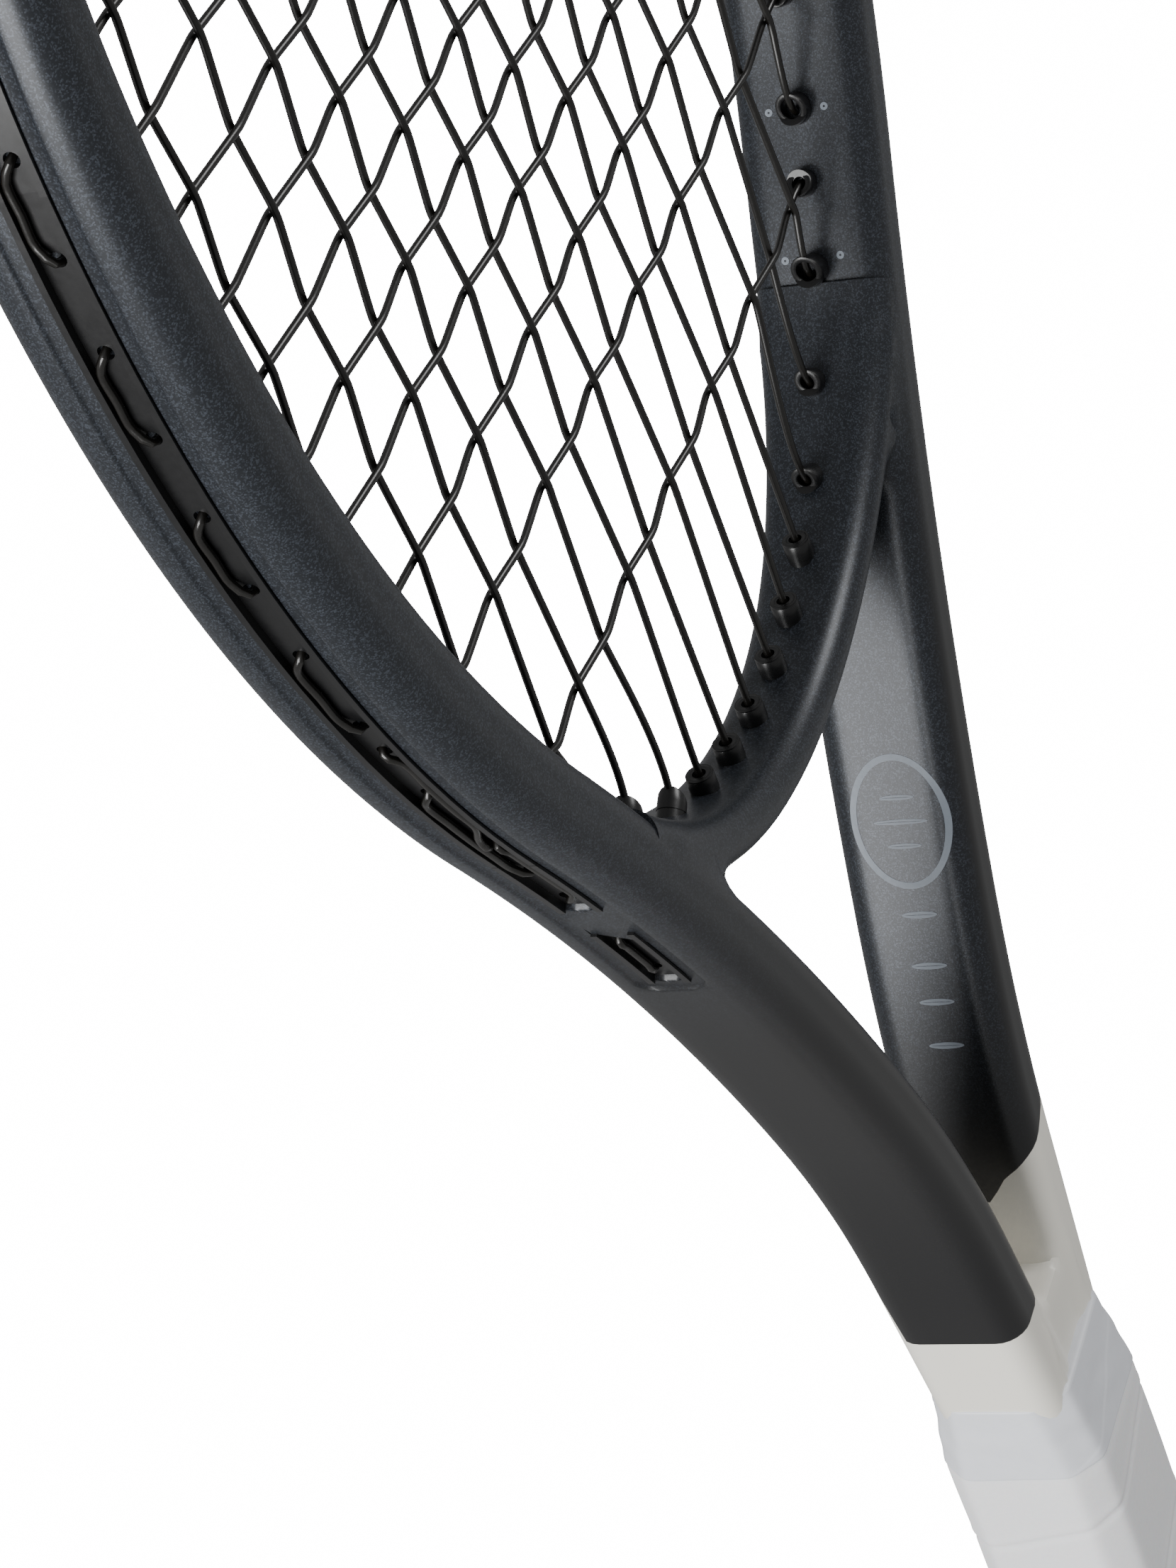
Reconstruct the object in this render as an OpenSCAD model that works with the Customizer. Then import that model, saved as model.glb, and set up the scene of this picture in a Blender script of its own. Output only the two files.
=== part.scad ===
// Junior tennis racket, strung, standing on its butt end.
// The plan of the racket is drawn flat: x across the face, y from the butt to the tip and
// z towards the front. stand() then turns it upright, so the front looks along -Y.

/* [Head] */
// Length from the butt end to the tip
overall_l = 660; // [640:1:690]
// Inside width of the head
head_w = 230; // [215:1:250]
// Inside length of the head
head_l = 330; // [315:1:350]
// Height of the widest place above the inside of the throat
head_low = 181; // [172:1:190]
// Radius of the inside of the throat
throat_r = 80; // [74:1:88]
// Radius of the inside of the crown
crown_r = 95; // [88:1:102]

/* [Frame tube] */
// Width of the tube in the plane of the face
tube_w = 13.8; // [12:0.1:16]
// Depth of the tube from front to back
beam = 23.6; // [20:0.2:27]
// Radius of the long edges of the tube
edge_r = 5; // [3:0.5:6]
// Wall of the tube
wall = 1.1; // [0.9:0.1:1.6]
// Depth of the string channel in the outer face
channel_d = 2.4; // [2.2:0.1:3]
// Width of the string channel
channel_w = 7; // [6.4:0.2:8]
// Depth of the shallow land around the channel
land_d = 0.5; // [0.2:0.1:0.8]
// Width of the shallow land
land_w = 11.4; // [9:0.2:12]

/* [Shafts] */
// Slant of the shafts where they leave the head, in degrees
shaft_slant = 32.5; // [30:0.5:34]
// Slant of the shafts where they start to close, in degrees
neck_slant = 20.5; // [18:0.5:23]
// Slant of the shafts where they enter the handle, in degrees
root_slant = 8.5; // [7:0.5:11]
// Radius of the long bend of the shafts
shaft_r = 603; // [560:1:650]
// Radius of the closing bend
neck_r = 230; // [200:1:260]
// Radius of the last bend, inside the handle
root_r = 60; // [50:1:80]
// Depth of the overlap where the two tubes are moulded together
tube_lap = 0.8; // [0.4:0.1:1]
// Length of channel on each shaft
channel_tail = 23; // [21:1:26]
// Distance from the top of each shaft to its string pocket
pocket_from = 33; // [31:1:38]
// Length of the string pocket
pocket_l = 22; // [20:1:28]
// Height of the web that closes the fork
web_top = 187; // [178:1:190]

/* [Throat bridge] */
// Width of the bridge in the plane of the face
bridge_w = 8.5; // [8:0.5:11]
// Depth of the bridge at its middle
bridge_h = 16; // [14:0.5:18]
// Radius of the long edges of the bridge
bridge_r = 4.2; // [3:0.1:4.8]
// Radius of the hollow in the front and back of the bridge
waist_r = 480; // [420:5:560]

/* [Handle] */
// Height of the top of the pallets, where the grip starts to narrow
pallet_top = 150; // [140:1:152]
// Wall of the pallets at the sides
pallet_wall = 1.8; // [1.4:0.1:2.4]
// Wall of the pallets at the front and back
pallet_face = 1.5; // [1.4:0.1:2]
// Size of the handle's corner flats
corner_cut = 5.2; // [4:0.1:5.6]
// Thickness of the base grip
grip_t = 1.9; // [1.5:0.1:2.2]
// Height of the top of the base grip
grip_top = 166; // [158:1:170]
// Thickness of the finishing tape
tape_t = 0.4; // [0.2:0.1:0.6]
// Height of the lower edge of the finishing tape
tape_low = 151; // [148:1:156]
// Height of the upper edge of the finishing tape
tape_top = 169; // [168:1:176]
// Width of the grip where it ends on the shafts
root_w = 33; // [32.6:0.1:34]
// Depth of the grip where it ends on the shafts
root_h = 24.8; // [24.4:0.1:28]
// Height of the butt cap
cap_h = 24; // [20:1:28]
// Flare of the butt cap at each side
cap_flare = 3.6; // [2.5:0.1:4.5]
// Wall of the butt cap
cap_wall = 1.3; // [1:0.1:1.6]
// Thickness of the end of the butt cap
cap_floor = 2.5; // [2:0.1:4]
// Diameter of the balance weights
weight_d = 5; // [4:0.1:5.6]
// Length of the balance weights
weight_l = 32; // [20:1:45]

/* [Strings and grommets] */
// Diameter of the string
string_d = 1.2; // [1.1:0.02:1.3]
// Diameter of a grommet's bore
bore_d = 2.2; // [2:0.1:2.4]
// Diameter of a grommet's barrel
barrel_d = 4.4; // [4:0.1:4.8]
// Diameter of the bore of a tie-off grommet
tie_bore_d = 3.2; // [3:0.1:3.4]
// Diameter of the barrel of a tie-off grommet
tie_barrel_d = 5.2; // [5:0.1:5.6]
// Clearance around a barrel in the frame
barrel_gap = 0.15; // [0.1:0.05:0.3]
// Length that the barrels in the throat bridge stand out
barrel_out = 3.4; // [2.8:0.2:5]
// Length that the barrels beside the bridge stand out
mid_out = 2.6; // [2:0.2:3.4]
// Length that all other barrels stand out
short_out = 1.6; // [1.2:0.2:2]
// Thickness of the grommet strips
strip_t = 0.9; // [0.7:0.1:1.1]
// Thickness of the bumper guard
bumper_t = 1.6; // [1.2:0.1:2.2]
// Width of the bumper guard
bumper_w = 19; // [16:0.5:20]
// Where the bumper guard ends, in degrees above the widest place
bumper_end = 17; // [14:1:20]

/* [Hidden] */

$fn = 64;
arc_fn = 360;
seat = 0.02;          // gap between a seated piece and its seat
lane = 1.55;          // distance of a string loop from the middle of the channel
tie_main_z = 0.95;    // where a main passes a tie-off bore
tie_tail_z = -0.3;    // where a tail passes it
weave = string_d/2 + 0.02;
ring_n = 6;           // sides of a string
string_lift = 0.08;   // gap between a string loop and the strip it lies on

// Distances of the main strings from the middle, at the throat and at the crown
mains_low = [6, 17.3, 28.7, 41.2, 54.1, 65.9, 80.5, 94.8];
mains_high = [6, 17.3, 28.7, 41.2, 54.1, 65.9, 79.1, 96.8];
// Heights of the cross strings above the inside of the throat
cross_up = [46, 72.5, 90.2, 106, 119.2, 132.4, 145.5, 158.7, 172, 185.2, 198.4, 211.7, 225, 238.5,
    252.2, 266.2, 280.3, 294.6, 308.3];

// Frame curve: each arc is a centre and the radius of its inner face
throat_y = overall_l - bumper_t - tube_w - head_l;
wide_y = throat_y + head_low;
half_w = head_w/2;
head_high = head_l - head_low;
function oval_r(a, b, r) = (a*a + (b - r)*(b - r) - r*r)/(2*(a - r));
lower_r = oval_r(half_w, head_low, throat_r);
upper_r = oval_r(half_w, head_high, crown_r);
lower_c = [half_w - lower_r, wide_y];
upper_c = [half_w - upper_r, wide_y];
crown_c = [0, wide_y + head_high - crown_r];
throat_c = [0, throat_y + throat_r];
crown_a = atan2(head_high - crown_r, upper_r - half_w);
throat_a = atan2(lower_r - half_w, head_low - throat_r);

// Shafts: bends whose centres lie outside, then a straight stretch and the handle
function polar(c, r, a) = c + r*[cos(a), sin(a)];
mid_r = tube_w/2;
shaft_c = polar(lower_c, lower_r + mid_r + shaft_r, -shaft_slant);
neck_p = polar(shaft_c, shaft_r, 180 - neck_slant);
neck_c = polar(neck_p, neck_r, -neck_slant);
root_p = polar(neck_c, neck_r, 180 - root_slant);
handle_x = mid_r - tube_lap/2;
root_run = (root_p.x - handle_x - root_r*(1 - cos(root_slant)))/sin(root_slant);
bend_p = root_p - root_run*[sin(root_slant), cos(root_slant)];
bend_c = polar(bend_p, root_r, -root_slant);
straight_y = bend_c.y;
tube_end = cap_floor + 0.5;
function shaft_at(run) = 180 - shaft_slant + run/shaft_r*180/PI;
fork_y = bend_p.y;

// Handle section
handle_w = 2*tube_w - tube_lap + 2*pallet_wall;
handle_h = beam + 2*pallet_face;

module stand() rotate([90, 0, 0]) children();
module both() {
    children();
    mirror([1, 0, 0]) children();
}

// ---- tube sections, centred on the tube, with +x on the outer side.
// Every second run along the frame is a few hundredths slimmer and reaches a little way into its
// neighbours, so that their walls always meet. t is that slimming.
slim = 0.03;
reach_in = 0.4;
module rounded(w, h, r) {
    square([w - 2*r, h], center = true);
    square([w, h - 2*r], center = true);
    for (i = [-1, 1]) for (j = [-1, 1]) translate([i*(w/2 - r), j*(h/2 - r)]) circle(r);
}
module tube_2d(inset = 0) rounded(tube_w - 2*inset, beam - 2*inset, edge_r - inset);
module slot_2d(depth, width) translate([tube_w/2 - depth, -width/2]) square([depth + 5, width]);
module plain_2d(t = 0) difference() {
    tube_2d(t);
    tube_2d(wall - t);
}
module land_2d(t = 0) difference() {
    plain_2d(t);
    slot_2d(land_d + t, land_w + 2*t);
}
module channel_2d(t = 0) difference() {
    tube_2d(t);
    difference() {
        tube_2d(wall - t);
        slot_2d(channel_d + wall - t, channel_w + 2*wall - 2*t);
    }
    slot_2d(channel_d + t, channel_w + 2*t);
    slot_2d(land_d + t, land_w + 2*t);
}

// ---- runs that carry a section along the frame, for the right-hand side. over is the
// length by which a slim run reaches past each of its ends.
module arc_run(c, r, a0, a1, over = 0) {
    more = over/r*180/PI;
    translate(c) rotate([0, 0, a0 - more])
        rotate_extrude(angle = a1 - a0 + 2*more, $fn = arc_fn) translate([r, 0]) children();
}
module crown_run() arc_run(crown_c, crown_r + mid_r, crown_a, 180 - crown_a) children();
module upper_run(a0 = 0, a1 = crown_a, over = reach_in)
    arc_run(upper_c, upper_r + mid_r, a0, a1, over) children();
module lower_run() arc_run(lower_c, lower_r + mid_r, -shaft_slant, 0) children();
module shaft_run(run0, run1, over = 0) arc_run(shaft_c, shaft_r, shaft_at(run0), shaft_at(run1),
    over) mirror([1, 0]) children();
module neck_run() arc_run(neck_c, neck_r, 180 - neck_slant, 180 - root_slant, reach_in)
    mirror([1, 0]) children();
module root_straight() translate(root_p) rotate([0, 0, -root_slant])
    rotate([90, 0, 0]) linear_extrude(root_run) children();
module root_bend() arc_run(bend_c, root_r, 180 - root_slant, 180, reach_in)
    mirror([1, 0]) children();
module handle_run(y0, y1) translate([handle_x, y1, 0])
    rotate([90, 0, 0]) linear_extrude(y1 - y0) children();
shaft_l = (shaft_slant - neck_slant)*PI/180*shaft_r;

// the room that the lower ends of the shafts take in the pieces around them
module shaft_ends(grow) both() {
    neck_run() tube_2d(-grow);
    root_straight() tube_2d(-grow - slim);
    root_bend() tube_2d(-grow);
    handle_run(tube_end - 1, straight_y + 0.2) tube_2d(-grow - slim);
}

// ---- grommet holes: [inner point, outward direction, z, depth to the strip's seat,
// length that the barrel stands out]
seat_depth = tube_w - channel_d;
function unit(v) = v/norm(v);
function flip(h, side) = [[side*h[0].x, h[0].y], [side*h[1].x, h[1].y], h[2], h[3], h[4]];
function arc_hole(c, r, a, out = short_out) = [polar(c, r, a), [cos(a), sin(a)], 0,
    seat_depth, out];
function cross_hole(i) = let(y = throat_y + cross_up[i])
    y < wide_y ? arc_hole(lower_c, lower_r, asin((y - wide_y)/lower_r),
        i < 2 ? mid_out : short_out) :
    y < polar(crown_c, crown_r, crown_a).y ?
        arc_hole(upper_c, upper_r, asin((y - wide_y)/upper_r)) :
        arc_hole(crown_c, crown_r, asin((y - crown_c.y)/crown_r));
function high_hole(i) = let(x = mains_high[i])
    x < crown_r*cos(crown_a) ? arc_hole(crown_c, crown_r, acos(x/crown_r)) :
        arc_hole(upper_c, upper_r, acos((x - upper_c.x)/upper_r));
function throat_in(x) = [x, throat_c.y - sqrt(throat_r*throat_r - x*x)];
floor_r = shaft_r - mid_r + channel_d;
throat_z = -0.8;
low_ends = [pocket_from + pocket_l - 4.5, pocket_from + 4.5, channel_tail - 4.5];
function low_hole(i) = let(x = mains_low[i], p = throat_in(min(x, throat_r)))
    i < 3 ? let(d = [0, -1], q = p - throat_c,
            s = sqrt(q.y*q.y - q*q + pow(throat_r + bridge_w, 2)) + q.y)
        [p, d, throat_z, s, barrel_out] :
    i < 6 ? let(q = polar(shaft_c, floor_r, shaft_at(low_ends[i - 3])), d = unit(q - p))
        [p, d, i < 5 ? throat_z : 0, norm(q - p), mid_out] :
    arc_hole(lower_c, lower_r, -acos((x - lower_c.x)/lower_r), i < 7 ? mid_out : short_out);

module at_hole(h) translate([h[0].x, h[0].y, h[2]])
    rotate([0, 0, atan2(h[1].y, h[1].x)]) rotate([0, 90, 0]) children();
module drill(h, d) at_hole(h) translate([0, 0, -3]) cylinder(h = h[3] + 6, d = d);
module barrel(h, d, string_dir) {
    turn = atan2(h[1].y, h[1].x) - atan2(string_dir.y, string_dir.x);
    lean = turn > 180 ? turn - 360 : turn < -180 ? turn + 360 : turn;
    difference() {
        at_hole(h) translate([0, 0, -h[4]]) cylinder(h = h[3] + h[4] + 0.1, d = d);
        at_hole(h) translate([0, 0, -h[4] + d/2*tan(abs(lean)/2)])
            rotate([lean/2, 0, 0]) translate([-4, -8, -8]) cube([8, 16, 8]);
    }
}
module bore(h, d) at_hole(h) translate([0, 0, -h[4] - 3])
    cylinder(h = h[3] + h[4] + 6, d = d);

// ---- which holes belong to which strip, on the right-hand side
bumper_from = polar(upper_c, upper_r, bumper_end).y;
function side_crosses() = [for (i = [0:18]) if (cross_hole(i)[0].y < bumper_from) i];
function crown_crosses() = [for (i = [0:18]) if (cross_hole(i)[0].y >= bumper_from) i];
tie_low = 6;          // seventh main ties the lower end, on the left
tie_high = 5;         // sixth main ties the upper end, on the left
function barrel_at(tie) = tie ? tie_barrel_d : barrel_d;
function bore_at(tie) = tie ? tie_bore_d : bore_d;

module frame_holes() both() {
    for (i = [0:18]) drill(cross_hole(i), barrel_d + 2*barrel_gap);
    for (i = [0:7]) drill(high_hole(i), barrel_at(i == tie_high) + 2*barrel_gap);
    for (i = [3:7]) drill(low_hole(i), barrel_at(i == 5 || i == tie_low) + 2*barrel_gap);
}

module hairpin_tube() color("#2b2d31") stand() difference() {
    union() {
        crown_run() channel_2d();
        both() {
            upper_run() channel_2d(slim);
            lower_run() channel_2d();
            shaft_run(0, channel_tail, reach_in) channel_2d(slim);
            shaft_run(channel_tail, pocket_from) land_2d();
            shaft_run(pocket_from, pocket_from + pocket_l, reach_in) channel_2d(slim);
            shaft_run(pocket_from + pocket_l, shaft_l) plain_2d();
            neck_run() plain_2d(slim);
            root_straight() plain_2d();
            root_bend() plain_2d(slim);
            handle_run(tube_end, straight_y) plain_2d();
        }
    }
    frame_holes();
}

// ---- throat bridge: an arc between the shafts, waisted front and back
bridge_a = throat_a - 6;
module bridge_2d(inset) rounded(bridge_w - 2*inset, beam - 0.6 - 2*inset, bridge_r - inset);
module bridge_body(inset = 0, more = 0) difference() {
    arc_run(throat_c, throat_r + bridge_w/2, -90 - bridge_a - more, -90 + bridge_a + more)
        bridge_2d(inset);
    for (j = [-1, 1]) translate([0, throat_y - 60, j*(bridge_h/2 + waist_r - inset)])
        rotate([-90, 0, 0]) cylinder(h = 180, r = waist_r, $fn = arc_fn);
}
module bridge_ends() both() {
    lower_run() tube_2d(-seat);
    shaft_run(0, shaft_l, reach_in) tube_2d(-seat - slim);
}
module bridge_holes() both() {
    for (i = [0:4]) drill(low_hole(i), barrel_d + 2*barrel_gap);
    for (i = [5, 6]) drill(low_hole(i), tie_barrel_d + 2*barrel_gap);
    drill(cross_hole(0), barrel_d + 2*barrel_gap);
}
module throat_bridge() color("#2b2d31") stand() difference() {
    bridge_body();
    bridge_body(wall, 1);
    bridge_ends();
    bridge_holes();
}
module bridge_foam() color("#d8c79a") stand() difference() {
    bridge_body(wall);
    bridge_ends();
    bridge_holes();
}

// ---- web that closes the fork between the shafts
web_half = handle_x - 1;
module fork_web() color("#ecebe6") stand() difference() {
    translate([-web_half, fork_y, -beam/2 + 1]) cube([2*web_half, web_top - fork_y, beam - 2]);
    shaft_ends(seat);
    translate([0, web_top, 0]) cylinder(h = beam + 2, r = 4.5, center = true);
}

// ---- inside the handle
weight_x = handle_x;
module weights(gap = 0) both() translate([weight_x, cap_h + 40, 0]) rotate([-90, 0, 0])
    cylinder(h = weight_l, d = weight_d + 2*gap);
module handle_foam() color("#e6d9a8") stand() difference() {
    both() handle_run(tube_end, pallet_top - 10) tube_2d(wall);
    weights(seat);
}
module balance_weights() color("#8d8f92") stand() weights();

// ---- handle shells and what covers them
module octagon(w, h, cut) polygon([
    [w/2 - cut, -h/2], [w/2, -h/2 + cut], [w/2, h/2 - cut], [w/2 - cut, h/2],
    [-w/2 + cut, h/2], [-w/2, h/2 - cut], [-w/2, -h/2 + cut], [-w/2 + cut, -h/2]]);
module handle_2d(out = 0) octagon(handle_w + 2*out, handle_h + 2*out,
    corner_cut + out*(2 - sqrt(2)));
module handle_prism(y0, y1, out = 0) translate([0, y1, 0]) rotate([90, 0, 0])
    linear_extrude(y1 - y0) handle_2d(out);
cap_low = 7;
module cap_shape(out = 0) {
    hull() {
        handle_prism(cap_h - 0.01, cap_h, cap_wall + out);
        handle_prism(cap_low, cap_low + 0.01, cap_flare + out);
    }
}
module cap_lip() hull() {
    handle_prism(2, cap_low, cap_flare + grip_t - 0.3);
    handle_prism(0, 1, cap_flare + grip_t - 2);
}
staple_y = 15;
staple_w = 7;
staple_t = 0.6;
cap_out = cap_flare - (cap_flare - cap_wall)*(staple_y - cap_low)/(cap_h - cap_low);
staple_leg = cap_out - staple_t + pallet_face - 0.4;
module staple(more) {
    translate([-staple_w/2, -staple_t/2, 0]) cube([staple_w, staple_t, staple_t + more]);
    for (i = [-1, 1]) translate([i*(staple_w - staple_t)/2 - staple_t/2, -staple_t/2,
        -staple_leg]) cube([staple_t, staple_t, staple_leg + 0.1]);
}
module staples(more = 0) for (a = [0, 180]) rotate([0, a, 0])
    translate([0, staple_y, handle_h/2 + cap_out - staple_t - 0.1]) staple(more);

module pallet(front) difference() {
    handle_prism(tube_end, pallet_top);
    shaft_ends(seat);
    translate([-50, 0, front ? -50 : -0.1]) cube([100, 200, 50.1]);
    staples();
}
module pallet_front() color("#c9c9c4") stand() pallet(true);
module pallet_back() color("#c9c9c4") stand() pallet(false);

module butt_cap() color("#f1f1ef") stand() difference() {
    union() {
        cap_shape();
        cap_lip();
    }
    handle_prism(cap_floor, cap_h + 1, seat);
    staples(1);
}
module cap_staples() color("#b9bcc0") stand() staples();

module grip_core() {
    handle_prism(cap_low - 1, cap_h, 0);
    handle_prism(cap_h - 1, pallet_top + 0.1, 0.1);
    cap_shape(seat);
    shaft_ends(0.1);
    web_block();
}
module web_block() translate([-13, pallet_top, -beam/2])
    cube([26, 50, beam]);
// the grip narrows from the octagon of the handle to the shafts; to_y cuts it off
module narrowing(out, to_y) intersection() {
    hull() {
        handle_prism(pallet_top - 0.5, pallet_top, grip_t + out);
        translate([0, tape_top + 0.5, 0]) rotate([90, 0, 0]) linear_extrude(0.5)
            octagon(root_w + 2*out, root_h + 2*out, corner_cut);
    }
    translate([-50, pallet_top - 1, -50]) cube([100, to_y - pallet_top + 1, 100]);
}
module base_grip() color("#f4f4f3") stand() difference() {
    union() {
        handle_prism(cap_h - 1, pallet_top - 0.3, grip_t);
        cap_shape(grip_t);
        narrowing(0, grip_top);
    }
    grip_core();
}
module finishing_tape() color("#e4e6ea") stand() difference() {
    union() {
        handle_prism(tape_low - 4, pallet_top - 0.3, grip_t + tape_t);
        narrowing(tape_t, tape_top);
    }
    handle_prism(tape_low - 5, pallet_top - 0.3 + seat, grip_t + seat);
    narrowing(seat, grip_top + seat);
    translate([-50, tape_low - 50, -50]) cube([100, 50, 100]);
    shaft_ends(0.1);
    web_block();
}

// ---- grommet strips and bumper guard
module strip_2d(t = 0) difference() {
    translate([tube_w/2 - channel_d + seat + t, -channel_w/2 + 0.1 + t])
        square([channel_d - seat - 0.1 - 2*t, channel_w - 0.2 - 2*t]);
    slot_2d(channel_d - strip_t + t, channel_w - 2.2 + 2*t);
}
module bumper_2d(t = 0) difference() {
    union() {
        translate([tube_w/2 - 3, -bumper_w/2 + 1.5])
            square([3 + bumper_t - t, bumper_w - 3]);
        translate([tube_w/2 - 3, -bumper_w/2 + t])
            square([1.5 + bumper_t, bumper_w - 2*t]);
        for (j = [-1, 1]) translate([tube_w/2 + bumper_t - 1.5, j*(bumper_w/2 - 1.5)])
            circle(1.5 - t);
    }
    difference() {
        tube_2d(-seat - t);
        slot_2d(channel_d - seat - t, channel_w - 0.2 - 2*t);
        slot_2d(land_d - seat - t, land_w - 0.2 - 2*t);
    }
    slot_2d(channel_d - strip_t + t, channel_w - 2.2 + 2*t);
}

module side_holes(kind) for (i = side_crosses())
    grommet(cross_hole(i), false, [1, 0], kind);
module grommet(h, tie, string_dir, kind) {
    if (kind == "barrel") barrel(h, barrel_at(tie), string_dir);
    if (kind == "bore") bore(h, bore_at(tie));
}
module low_grommets(kind, first, last) for (i = [first:last])
    grommet(low_hole(i), i == 5 || i == tie_low, [0, -1], kind);

module side_strip() difference() {
    union() {
        upper_run(0, bumper_end - 0.5, 0) strip_2d();
        arc_run(lower_c, lower_r + mid_r, -shaft_slant, 0, reach_in) strip_2d(slim);
        shaft_run(0, channel_tail - 0.5) strip_2d();
        side_holes("barrel");
        low_grommets("barrel", 5, 7);
    }
    side_holes("bore");
    low_grommets("bore", 5, 7);
}
module side_strip_left() color("#141516") stand() mirror([1, 0, 0]) side_strip();
module side_strip_right() color("#141516") stand() side_strip();

module pocket_strip() difference() {
    union() {
        shaft_run(pocket_from + 0.3, pocket_from + pocket_l - 0.3) strip_2d();
        low_grommets("barrel", 3, 4);
    }
    low_grommets("bore", 3, 4);
}
module pocket_strip_left() color("#141516") stand() mirror([1, 0, 0]) pocket_strip();
module pocket_strip_right() color("#141516") stand() pocket_strip();

throat_strip_a = 23;
module throat_strip() color("#141516") stand() difference() {
    union() {
        arc_run(throat_c, throat_r + bridge_w + seat, -90 - throat_strip_a,
            -90 + throat_strip_a) {
            translate([0, -3.4 + throat_z]) square([strip_t, 6.8]);
            for (j = [-1, 1]) translate([0, j*2.9 - 0.5 + throat_z])
                square([strip_t + string_d + 0.3, 1]);
        }
        both() low_grommets("barrel", 0, 2);
    }
    both() low_grommets("bore", 0, 2);
}

module crown_holes(kind) {
    for (i = crown_crosses()) grommet(cross_hole(i), false, [1, 0], kind);
    for (i = [0:7]) grommet(high_hole(i), i == tie_high, [0, 1], kind);
}
module bumper_guard() color("#1c1d20") stand() difference() {
    union() {
        crown_run() bumper_2d();
        both() {
            upper_run(bumper_end, crown_a) bumper_2d(slim);
            crown_holes("barrel");
        }
    }
    both() crown_holes("bore");
}

// ---- strings: one length, laced through the mains and then the crosses from the bottom
lift = strip_t + string_d/2 + string_lift;
function tie_z(side, tie) = side < 0 && tie ? tie_main_z : 0;
function exit_of(h, z) = let(p = h[0] + (h[3] + lift)*h[1]) [p.x, p.y, z];
function mouth_of(h, z) = let(p = h[0] - max(0.9, h[4] - 1.2)*h[1]) [p.x, p.y, z];
// whether a crossing is clear of a hole's barrel
function clear_of(h, x, y) = (h[0] - [x, y])*h[1] > h[4] + 0.8;
// a point laid on the floor of the channel, the bridge or the shaft
function on_circle(p, c, r) = c + r*unit(p - c);
function lay_right(p) = let(low_a = atan2(p.y - wide_y, p.x - lower_c.x))
    p.y > wide_y ?
        (atan2(p.y - crown_c.y, p.x) > crown_a ?
            on_circle(p, crown_c, crown_r + seat_depth + lift) :
            on_circle(p, upper_c, upper_r + seat_depth + lift)) :
    low_a > -shaft_slant ? on_circle(p, lower_c, lower_r + seat_depth + lift) :
    p.y < throat_y + 1 && p.x < 50 && p.y > throat_y - 20 ?
        on_circle(p, throat_c, throat_r + bridge_w + lift) :
        on_circle(p, shaft_c, floor_r - lift);
function lay(p, z) = let(side = p.x < 0 ? -1 : 1, q = lay_right([side*p.x, p.y]))
    [side*q.x, q.y, z];
function mix(a, b, t) = let(p = a + t*(b - a)) [p.x, p.y];
// a loop from one exit to the next, in its lane
function loop(a, b, z) = let(n = norm(b - a), t = 2.4/n, steps = n > 20 ? 4 : 2)
    [for (k = [0:steps]) lay(mix(a, b, t + (1 - 2*t)*k/steps), z)];

function main_over(i, side, c) = (side < 0 ? 7 - i : 8 + i) + c;
function sign_at(i, side, c) = main_over(i, side, c)%2 == 0 ? -1 : 1;
function main_x(i, y) = let(a = low_hole(i)[0], b = high_hole(i)[0])
    a.x + (b.x - a.x)*(y - a.y)/(b.y - a.y);
function crosses(i, c, x, y) = clear_of(low_hole(i), x, y) && clear_of(high_hole(i), x, y)
    && clear_of(cross_hole(c), x, y);
// one main from its lower exit to its upper exit
function main_up(i, side) = let(a = flip(low_hole(i), side), b = flip(high_hole(i), side),
        za = i < 5 ? throat_z : tie_z(side, i == tie_low), zb = tie_z(side, i == tie_high))
    concat([exit_of(a, za), mouth_of(a, za)],
        [for (c = [0:18]) let(y = throat_y + cross_up[c], x = main_x(i, y))
            if (crosses(i, c, x, y)) [side*x, y, sign_at(i, side, c)*weave]],
        [mouth_of(b, zb), exit_of(b, zb)]);
// one cross from its right exit to its left exit
function cross_left(c) = let(h = cross_hole(c), y = throat_y + cross_up[c])
    concat([exit_of(h, 0), mouth_of(h, 0)],
        [for (side = [1, -1]) for (k = [0:7]) let(i = side > 0 ? 7 - k : k, x = main_x(i, y))
            if (crosses(i, c, x, y)) [side*x, y, -sign_at(i, side, c)*weave]],
        [mouth_of(flip(h, -1), 0), exit_of(flip(h, -1), 0)]);
function reversed(l) = [for (i = [len(l) - 1:-1:0]) l[i]];
function last(l) = l[len(l) - 1];

// mains run outwards from the middle: up on odd places, down on even ones
function half_mains(side, i = 0) = let(up = main_up(i, side), run = i%2 == 0 ? up : reversed(up))
    i == 7 ? run : let(rest = half_mains(side, i + 1))
    concat(run, loop(last(run), rest[0], i == 1 || i == 3 ? throat_z : lane), rest);
tail_hole = flip(low_hole(tie_low), -1);
left_tail = let(a = exit_of(flip(low_hole(7), -1), 0), b = exit_of(tail_hole, tie_tail_z))
    [for (t = [0.08, 0.3, 0.55, 0.75]) lay(mix(a, b, t), lane),
        lay(mix(a, b, 0.9), tie_tail_z), b, mouth_of(tail_hole, tie_tail_z)];
right_a = exit_of(low_hole(7), 0);
right_b = exit_of(cross_hole(0), 0);
split = lay(mix(right_a, right_b, 0.3), lane);
right_tail = [lay(mix(right_a, right_b, 0.08), lane), split];
centre_loop = loop(exit_of(flip(low_hole(0), -1), throat_z),
    exit_of(low_hole(0), throat_z), throat_z);
main_path = concat(reversed(concat(half_mains(-1), left_tail)), centre_loop,
    half_mains(1), right_tail);

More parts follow.
